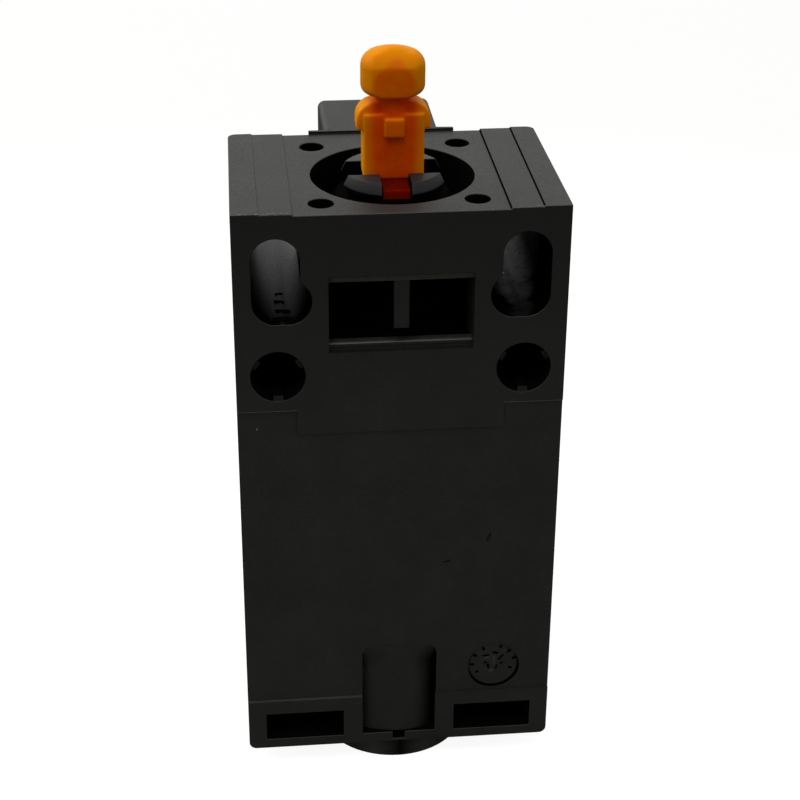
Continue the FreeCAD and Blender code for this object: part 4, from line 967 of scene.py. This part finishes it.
@dataclass
class EdgeFlash:
    """A torn bead of flash along a stretch of the panel face's upper edge."""

    name: str
    from_mm: float
    to_mm: float
    level_mm: float
    seed: int
    thick_mm: float = 0.06
    step_mm: float = 0.05
    average_over: int = 5
    bare_below: float = 0.42
    contrast: float = 4.5
    least_share: float = 0.02
    sway_mm: float = 0.06
    clear_mm: float = 0.01
    flatness: float = 0.9
    sides: int = 7

    def build(self) -> bpy.types.Object:
        """Carries a small ellipse along the edge, its size following smoothed noise that drops to nothing.

        Returns:
            The bead.
        """
        count = int((self.to_mm - self.from_mm) / self.step_mm)
        noise = np.random.default_rng(self.seed).random((2, count + SPARE_DRAWS))
        window = np.ones(self.average_over) / self.average_over
        smooth = np.apply_along_axis(np.convolve, 1, noise, window, mode="valid")[:, :count]
        size = self.thick_mm * np.clip((smooth[0] - self.bare_below) * self.contrast, self.least_share, 1.0)
        sway = (smooth[1] - 0.5) * self.sway_mm
        line = np.stack((np.linspace(self.from_mm, self.to_mm, count), np.full(count, self.thick_mm + self.clear_mm),
                         self.level_mm - STUD_HEIGHT_MM + sway), axis=1)
        axes = np.tile((0.0, 1.0, 0.0), (count, 1)), np.tile((0.0, 0.0, 1.0), (count, 1))
        sizes = np.stack((size, size * self.flatness), axis=1)
        points, faces = tube(line * MM, *axes, sizes * MM, self.sides)
        piece = new_object(self.name, points, faces, NYLON_FLASH_AND_HIGHLIGHT, smooth_deg=50.0)
        return place_piece(piece, Body.BASE)


@dataclass
class PhotoCamera:
    """The photograph's camera, as fitted to the edges of the body."""

    place_mm: tuple[float, float, float] = (-15.355, -147.159, 74.989)
    yaw_deg: float = 5.91
    pitch_deg: float = 27.73
    roll_deg: float = -0.43
    lens_mm: float = 83.76
    sensor_mm: float = 36.0
    near_m: float = 0.01

    def build(self) -> bpy.types.Object:
        """Turns yaw, pitch and roll into the camera's own axes and makes it the scene's camera.

        Returns:
            The camera object.
        """
        yaw, pitch, roll = (math.radians(a) for a in (self.yaw_deg, self.pitch_deg, self.roll_deg))
        ahead = Vector((math.sin(yaw) * math.cos(pitch), math.cos(yaw) * math.cos(pitch), -math.sin(pitch)))
        right = Vector((math.cos(yaw), -math.sin(yaw), 0.0))
        down = ahead.cross(right)
        rolled_right = math.cos(roll) * right + math.sin(roll) * down
        rolled_up = math.sin(roll) * right - math.cos(roll) * down
        lens = bpy.data.cameras.new("photo_camera")
        lens.lens = self.lens_mm
        lens.sensor_width = self.sensor_mm
        lens.clip_start = self.near_m
        camera = bpy.data.objects.new("photo_camera", lens)
        turn = Matrix((rolled_right, rolled_up, -ahead)).transposed()
        camera.matrix_world = Matrix.Translation(Vector(self.place_mm) * MM) @ turn.to_4x4()
        bpy.context.scene.collection.objects.link(camera)
        bpy.context.scene.camera = camera
        return camera


@dataclass(frozen=True)
class Softbox:
    """A square soft lamp that looks at the origin."""

    name: str
    watts: float
    size_m: float
    place_m: tuple[float, float, float]

    def build(self) -> bpy.types.Object:
        """Makes the lamp and turns it towards the origin.

        Returns:
            The lamp object.
        """
        light = bpy.data.lights.new(self.name, "AREA")
        light.energy = self.watts
        light.size = self.size_m
        lamp = bpy.data.objects.new(self.name, light)
        lamp.location = self.place_m
        lamp.rotation_euler = (-Vector(self.place_m)).to_track_quat("-Z", "Y").to_euler()
        bpy.context.scene.collection.objects.link(lamp)
        return lamp


@dataclass
class Studio:
    """A pale floor, a soft sky that is brighter above and behind, and two soft lamps."""

    floor_half_m: float = 3.0
    floor_drop_mm: float = 0.02
    # The floor is paler near the object than far off: a painted pool of light on the floor, which also brightens the
    # light bounced onto the object.
    floor_near: str = "#868684"
    floor_far: str = "#4e4e4c"
    floor_fade_m: tuple[float, float] = (0.05, 0.2)
    floor_glow: float = 0.92
    sky_front: float = 0.2
    sky_back: float = 0.75
    sky_lean: tuple[float, float, float] = (0.0, 0.6, 0.8)
    sky_span: tuple[float, float] = (-0.2, 0.75)
    sky_tint: tuple[float, float, float, float] = (1.0, 0.985, 0.96, 1.0)
    white: tuple[float, float, float, float] = (1.0, 1.0, 1.0, 1.0)
    key: Softbox = Softbox("key_softbox", 1.0, 0.3, (-0.34, 0.3, 0.3))
    fill: Softbox = Softbox("fill_softbox", 1.0, 0.3, (-0.12, -0.25, 0.6))

    def build(self) -> None:
        """Sets the view, then makes the sky, the floor and the lamps."""
        bpy.context.scene.view_settings.view_transform = "Standard"
        self.make_sky()
        self.make_floor()
        for box in (self.key, self.fill):
            box.build()

    def seen_directly(self, tree: bpy.types.NodeTree, with_gloss: bool) -> bpy.types.NodeSocket:
        """Gives 1 for the rays that should meet a white background.

        Args:
            tree: the node tree that asks.
            with_gloss: counts reflections and what shows through glass as well.

        Returns:
            The socket with 0 or 1.
        """
        ray = add_node(tree, "ShaderNodeLightPath")
        if not with_gloss:
            return ray.outputs["Is Camera Ray"]
        shiny = add_node(tree, "ShaderNodeMath", {
            0: ray.outputs["Is Glossy Ray"], 1: ray.outputs["Is Transmission Ray"]}, operation="MAXIMUM")
        either = add_node(tree, "ShaderNodeMath", {
            0: ray.outputs["Is Camera Ray"], 1: shiny.outputs["Value"]}, operation="MAXIMUM")
        return either.outputs["Value"]

    def make_sky(self) -> None:
        """Makes the world: light rises towards above and behind, and the background itself is white."""
        world = bpy.data.worlds.new("studio_sky")
        bpy.context.scene.world = world
        tree = empty_tree(world)
        way = add_node(tree, "ShaderNodeTexCoord").outputs["Generated"]
        lean = add_node(tree, "ShaderNodeVectorMath", {0: way, 1: self.sky_lean}, operation="DOT_PRODUCT")
        level = add_node(tree, "ShaderNodeMapRange", {
            "Value": lean.outputs["Value"], "From Min": self.sky_span[0], "From Max": self.sky_span[1],
            "To Min": self.sky_front, "To Max": self.sky_back}, interpolation_type="SMOOTHSTEP")
        light = add_node(tree, "ShaderNodeBackground", {
            "Color": self.sky_tint, "Strength": level.outputs["Result"]})
        white = add_node(tree, "ShaderNodeBackground", {"Color": self.white, "Strength": 1.0})
        mixed = add_node(tree, "ShaderNodeMixShader", {
            0: self.seen_directly(tree, True), 1: light.outputs[0], 2: white.outputs[0]})
        add_node(tree, "ShaderNodeOutputWorld", {"Surface": mixed.outputs[0]})

    def make_floor(self) -> None:
        """Makes the floor under the boss: diffuse, with a glow that the camera alone sees."""
        half = self.floor_half_m
        low = CAD_BOX[0].z - self.floor_drop_mm * MM
        points = np.array([(-half, -half, low), (half, -half, low), (half, half, low), (-half, half, low)])
        mesh = bpy.data.meshes.new("studio_floor")
        mesh.from_pydata(points.tolist(), [], [(0, 1, 2, 3)])
        floor = bpy.data.objects.new("studio_floor", mesh)
        bpy.context.scene.collection.objects.link(floor)
        paint = bpy.data.materials.new("studio_floor_paint")
        tree = empty_tree(paint)
        place = add_node(tree, "ShaderNodeTexCoord").outputs["Object"]
        away = add_node(tree, "ShaderNodeVectorMath", {0: place}, operation="LENGTH")
        fade = add_node(tree, "ShaderNodeMapRange", {
            "Value": away.outputs["Value"], "From Min": self.floor_fade_m[0], "From Max": self.floor_fade_m[1]})
        shade = add_node(tree, "ShaderNodeMix", {
            MIX_FACTOR: fade.outputs["Result"], MIX_A: linear(self.floor_near), MIX_B: linear(self.floor_far)},
            data_type="RGBA")
        matt = add_node(tree, "ShaderNodeBsdfDiffuse", {"Color": shade.outputs[MIX_RESULT]})
        glow = add_node(tree, "ShaderNodeEmission", {"Strength": self.floor_glow})
        lit = add_node(tree, "ShaderNodeAddShader", {0: matt.outputs[0], 1: glow.outputs[0]})
        mixed = add_node(tree, "ShaderNodeMixShader", {
            0: self.seen_directly(tree, False), 1: matt.outputs[0], 2: lit.outputs[0]})
        add_node(tree, "ShaderNodeOutputMaterial", {"Surface": mixed.outputs[0]})
        mesh.materials.append(paint)


HOUSING_ZONES = (
    # Upper field and the tee in its window, in painted shade that darkens upwards; the sill in painted half shade,
    # with a painted highlight on its top.
    Zone(NYLON_FIELD, (-14.8, -0.05, 35.3), (14.8, 0.02, 56.3)),
    Zone(NYLON_FIELD, (-1.2, 0.1, 43.9), (1.2, 1.79, 50.5)),
    Zone(NYLON_SHADE_AND_SCUFFS, (-6.9, 0.3, 42.7), (6.9, 1.79, 44.4)),
    Zone(NYLON_HIGHLIGHT, (-6.9, 0.85, 43.6), (6.9, 1.79, 44.4)),
    # Painted deep shade in the hollows: the window, the recess, the stud holes and the foot windows.
    Zone(NYLON_DEEP_SHADE, (-6.6, 1.8, 42.9), (6.6, 5.2, 50.6)),
    Zone(NYLON_DEEP_SHADE, (-7.7, 1.6, 49.5), (7.7, 18.2, 56.1)),
    *both_sides(NYLON_DEEP_SHADE, (8.4, 0.7, 38.4), (13.6, 5.3, 43.6)),
    *both_sides(NYLON_DEEP_SHADE, (5.3, 0.6, 0.9), (13.2, 3.2, 4.2)),
    # Slots in painted light and shade: a strip far into the left one, patches in the right one.
    Zone(NYLON_BORE, (-13.4, 0.4, 45.9), (-7.7, 20.2, 54.3)),
    Zone(NYLON_SLOT_PATCHES, (7.7, 0.4, 45.9), (13.4, 20.2, 54.3)),
    # Steps of the top face: painted shadow lines on the right.
    Zone(NYLON_DEEP_SHADE, (9.2, 0.3, 56.2), (9.6, 20.2, 56.6)),
    Zone(NYLON_DEEP_SHADE, (12.1, 0.3, 56.2), (12.5, 20.2, 56.6)),
    # Relief over the cable entry in painted shade, darker to the right; painted deep shade on its right flank, its
    # foot and its notch; a painted highlight on its upper edge; and the boss with painted shade in its middle.
    Zone(NYLON_RELIEF, (-3.4, 0.1, 1.2), (3.4, 2.6, 12.4)),
    Zone(NYLON_DEEP_SHADE, (3.4, 0.1, 1.2), (3.8, 2.6, 12.4)),
    Zone(NYLON_HIGHLIGHT, (-2.6, -0.05, 11.3), (2.6, 0.6, 11.7)),
    Zone(NYLON_DEEP_SHADE, (-3.8, 0.1, 0.9), (3.8, 2.6, 1.2)),
    Zone(NYLON_DEEP_SHADE, (-0.8, 0.05, 0.1), (0.8, 1.6, 1.2)),
    Zone(NYLON_BOSS, (-7.5, -0.1, -3.0), (7.5, 7.0, -0.02)),
    # Painted half shade: the floor in front of the sill, the rims of the stud holes, the step round the mould's
    # insert.
    Zone(NYLON_SHADE_AND_SCUFFS, (-6.9, 0.005, 42.7), (6.9, 0.82, 43.5)),
    *both_sides(NYLON_SHADE_AND_SCUFFS, (8.4, 0.02, 38.4), (13.6, 0.7, 43.6)),
    Zone(NYLON_SHADE_AND_SCUFFS, (6.7, 0.052, 6.1), (11.7, 0.199, 11.1)),
    # Edges: painted shade on the right of the foot strip, painted highlights on the upper field's lower step, on the
    # side steps and along the top.
    Zone(NYLON_SHADE_AND_SCUFFS, (3.6, -0.1, 5.4), (14.8, 0.3, 5.8)),
    Zone(NYLON_HIGHLIGHT, (-9.2, 0.005, 34.8), (9.2, 0.195, 35.7)),
    *both_sides(NYLON_FLASH_AND_HIGHLIGHT, (9.9, -0.1, 37.3), (14.8, 0.1, 37.7)),
    Zone(NYLON_HIGHLIGHT, (-14.9, -0.1, 56.1), (14.9, 0.15, 56.6)),
)

# Each node with its group and the width of its rounded edges in millimetres.
MOULDINGS = (
    SoftenedNode("housing", Body.BASE, 0.07, zones=HOUSING_ZONES),
    # The front cover: painted deep shade on the top of its rear flare, a dark line behind the housing's top.
    SoftenedNode("front_cover", Body.COVER, 0.07, zones=(
        Zone(NYLON_DEEP_SHADE, (-13.0, 20.1, 56.2), (13.0, 20.9, 57.0)),)),
    # The guide bush: painted shade on its collar's slope, painted deep shade on the drum below.
    SoftenedNode("guide_bush", Body.BASE, 0.06, zones=(
        Zone(GUIDE_SHADED_SLOPE, (-8, 1, 55.9), (8, 9, 57.13)), Zone(GUIDE_DEEP_SHADE, (-8, 1, 49), (8, 18, 55.9)))),
    EasedNode("plunger_cap", Body.PLUNGER),
    SoftenedNode("push_rod", Body.PLUNGER, 0.08),
    SoftenedNode("guide_key", Body.PLUNGER, 0.05),
    SoftenedNode("contact_block", Body.BASE, 0.08),
    SoftenedNode("contact_block_lid", Body.BASE, 0.08),
    SoftenedNode("contact_carrier", Body.PLUNGER, 0.08),
    SoftenedNode("cover_screw", Body.COVER, 0.1),
    SoftenedNode("block_screws", Body.BASE, 0.08),
    SoftenedNode("terminal_screws", Body.BASE, 0.1),
    SoftenedNode("clamp_plates", Body.BASE, 0.08),
)

SPRINGS = (
    CoilSpring("return_spring", Body.BASE, radius_mm=2.95, wire_mm=0.3, low_mm=33.4, high_mm=46.8, turns=5.0,
               fixed_mm=33.4, pressed_share=0.627),
    CoilSpring("nc_contact_spring", Body.PLUNGER, radius_mm=1.3, wire_mm=0.2, low_mm=24.7, high_mm=27.88, turns=2.5),
    CoilSpring("no_contact_spring", Body.PLUNGER, radius_mm=1.3, wire_mm=0.2, low_mm=20.02, high_mm=23.7, turns=2.5,
               fixed_mm=23.7, pressed_share=0.457),
)

# Middle of the mould insert's face, which lies a little proud of the panel's lower field.
INSERT_MIDDLE = (9.2, 0.05, 8.6)

# A bar's row gives its place across and up, its turn in degrees, its half length and its half width.
DETAILS = (
    ReliefBlend(),
    InsertShadowRing(),
    # The mould mark: painted shadows for its notches and pointer, and painted highlights on its low ridges.
    FlatBars("mould_mark_notch_shadows", NYLON_DEEP_SHADE, INSERT_MIDDLE, (0, 0, 1), (
        (1.69, -0.45, -15, 0.22, 0.13), (2.07, 0.68, 18, 0.24, 0.15), (1.52, 1.52, 45, 0.25, 0.15),
        (0.72, 2.08, 71, 0.2, 0.14), (-0.97, 1.91, 117, 0.22, 0.14), (-1.8, 1.17, 147, 0.24, 0.15),
        (-2.06, 0.14, 176, 0.25, 0.14), (-1.57, -0.77, 206, 0.2, 0.12))),
    FlatBars("mould_mark_pointer_shadows", NYLON_DEEP_SHADE, INSERT_MIDDLE, (0, 0, 1), (
        (0.2, 1.39, -14, 0.33, 0.13), (-0.47, -0.15, 100, 0.3, 0.13), (-0.72, 1.12, 6, 0.38, 0.1),
        (-0.76, 0.28, 20, 0.2, 0.1), (0.76, 0.84, 48, 0.42, 0.1), (0.82, 0.16, 15, 0.2, 0.1),
        (0.32, -0.3, 78, 0.26, 0.09))),
    FlatBars("mould_mark_ridge_highlights", NYLON_HIGHLIGHT, INSERT_MIDDLE, (0, 0, 1), (
        (0.07, 0.4, 92, 0.62, 0.15), (-0.62, 0.78, 20, 0.22, 0.1), (-0.2, -0.75, 30, 0.26, 0.13))),
    FlatBars("slot_chip", NYLON_FLASH_AND_HIGHLIGHT, (8.8, 0.035, 50.3), (0, 0, 1), ((0.0, 0.0, 40, 0.14, 0.09),)),
    FlatBars("paint_speck", NYLON_FLASH_AND_HIGHLIGHT, (-13.0, 0.2, 35.7), (0, 0, 1), ((0.0, 0.0, 0.0, 0.1, 0.09),)),
    # A painted highlight on the window's lintel.
    FlatBars("lintel_painted_highlight", NYLON_HIGHLIGHT, (0.0, 0.3, 50.1), (0, 0, 1), ((0.0, 0.0, 0.0, 6.36, 0.27),), 0.008),
    FlatBars("panel_scuffs", NYLON_SHADE_AND_SCUFFS, (0.0, 0.2, 22.0), (0, 0, 1), (
        (8.4, 1.2, 70, 0.5, 0.16), (4.5, -1.3, 12, 0.36, 0.12)), 0.01),
    # Dark marks on the left slot's floor, in the painted deep shade finish.
    FlatBars("slot_floor_dark_marks", NYLON_DEEP_SHADE, (-10.5, 0.0, 46.1), (0, 1, 0), (
        (-0.05, 6.6, 4, 0.38, 0.12), (-0.1, 4.9, -14, 0.5, 0.2), (0.15, 2.9, -10, 0.7, 0.26),
        (0.1, 1.2, 0, 0.95, 0.5)), 0.06),
    EdgeFlash("edge_flash_left", from_mm=-14.5, to_mm=-9.5, level_mm=56.47, seed=3),
    EdgeFlash("edge_flash_middle", from_mm=7.7, to_mm=8.3, level_mm=56.24, seed=8, thick_mm=0.09),
    EdgeFlash("edge_flash_right", from_mm=11.2, to_mm=14.5, level_mm=56.45, seed=5),
    ThreadRidge("cable_entry_thread", Body.BASE, "housing_nylon", HOUSING_NYLON, axis_y_mm=7.4, wall_mm=6.0,
                depth_mm=0.8, pitch_mm=1.5, low_mm=-1.5, high_mm=5.6),
)


def dress_nodes() -> None:
    """Gives every CAD node that stays in view the finish of its slot."""
    for name, node in frame["nodes"].items():
        node.data.materials.clear()
        node.data.materials.append(PALETTE.of(SLOT_FINISHES[slot_of(name)]))


def main() -> None:
    """Builds the sub-assemblies in order, then the camera and the studio."""
    logging.basicConfig(level=logging.INFO, format="%(message)s")
    dress_nodes()
    for maker in (*MOULDINGS, *SPRINGS, *DETAILS):
        maker.build()
    PhotoCamera().build()
    Studio().build()


if __name__ == "__main__":
    main()
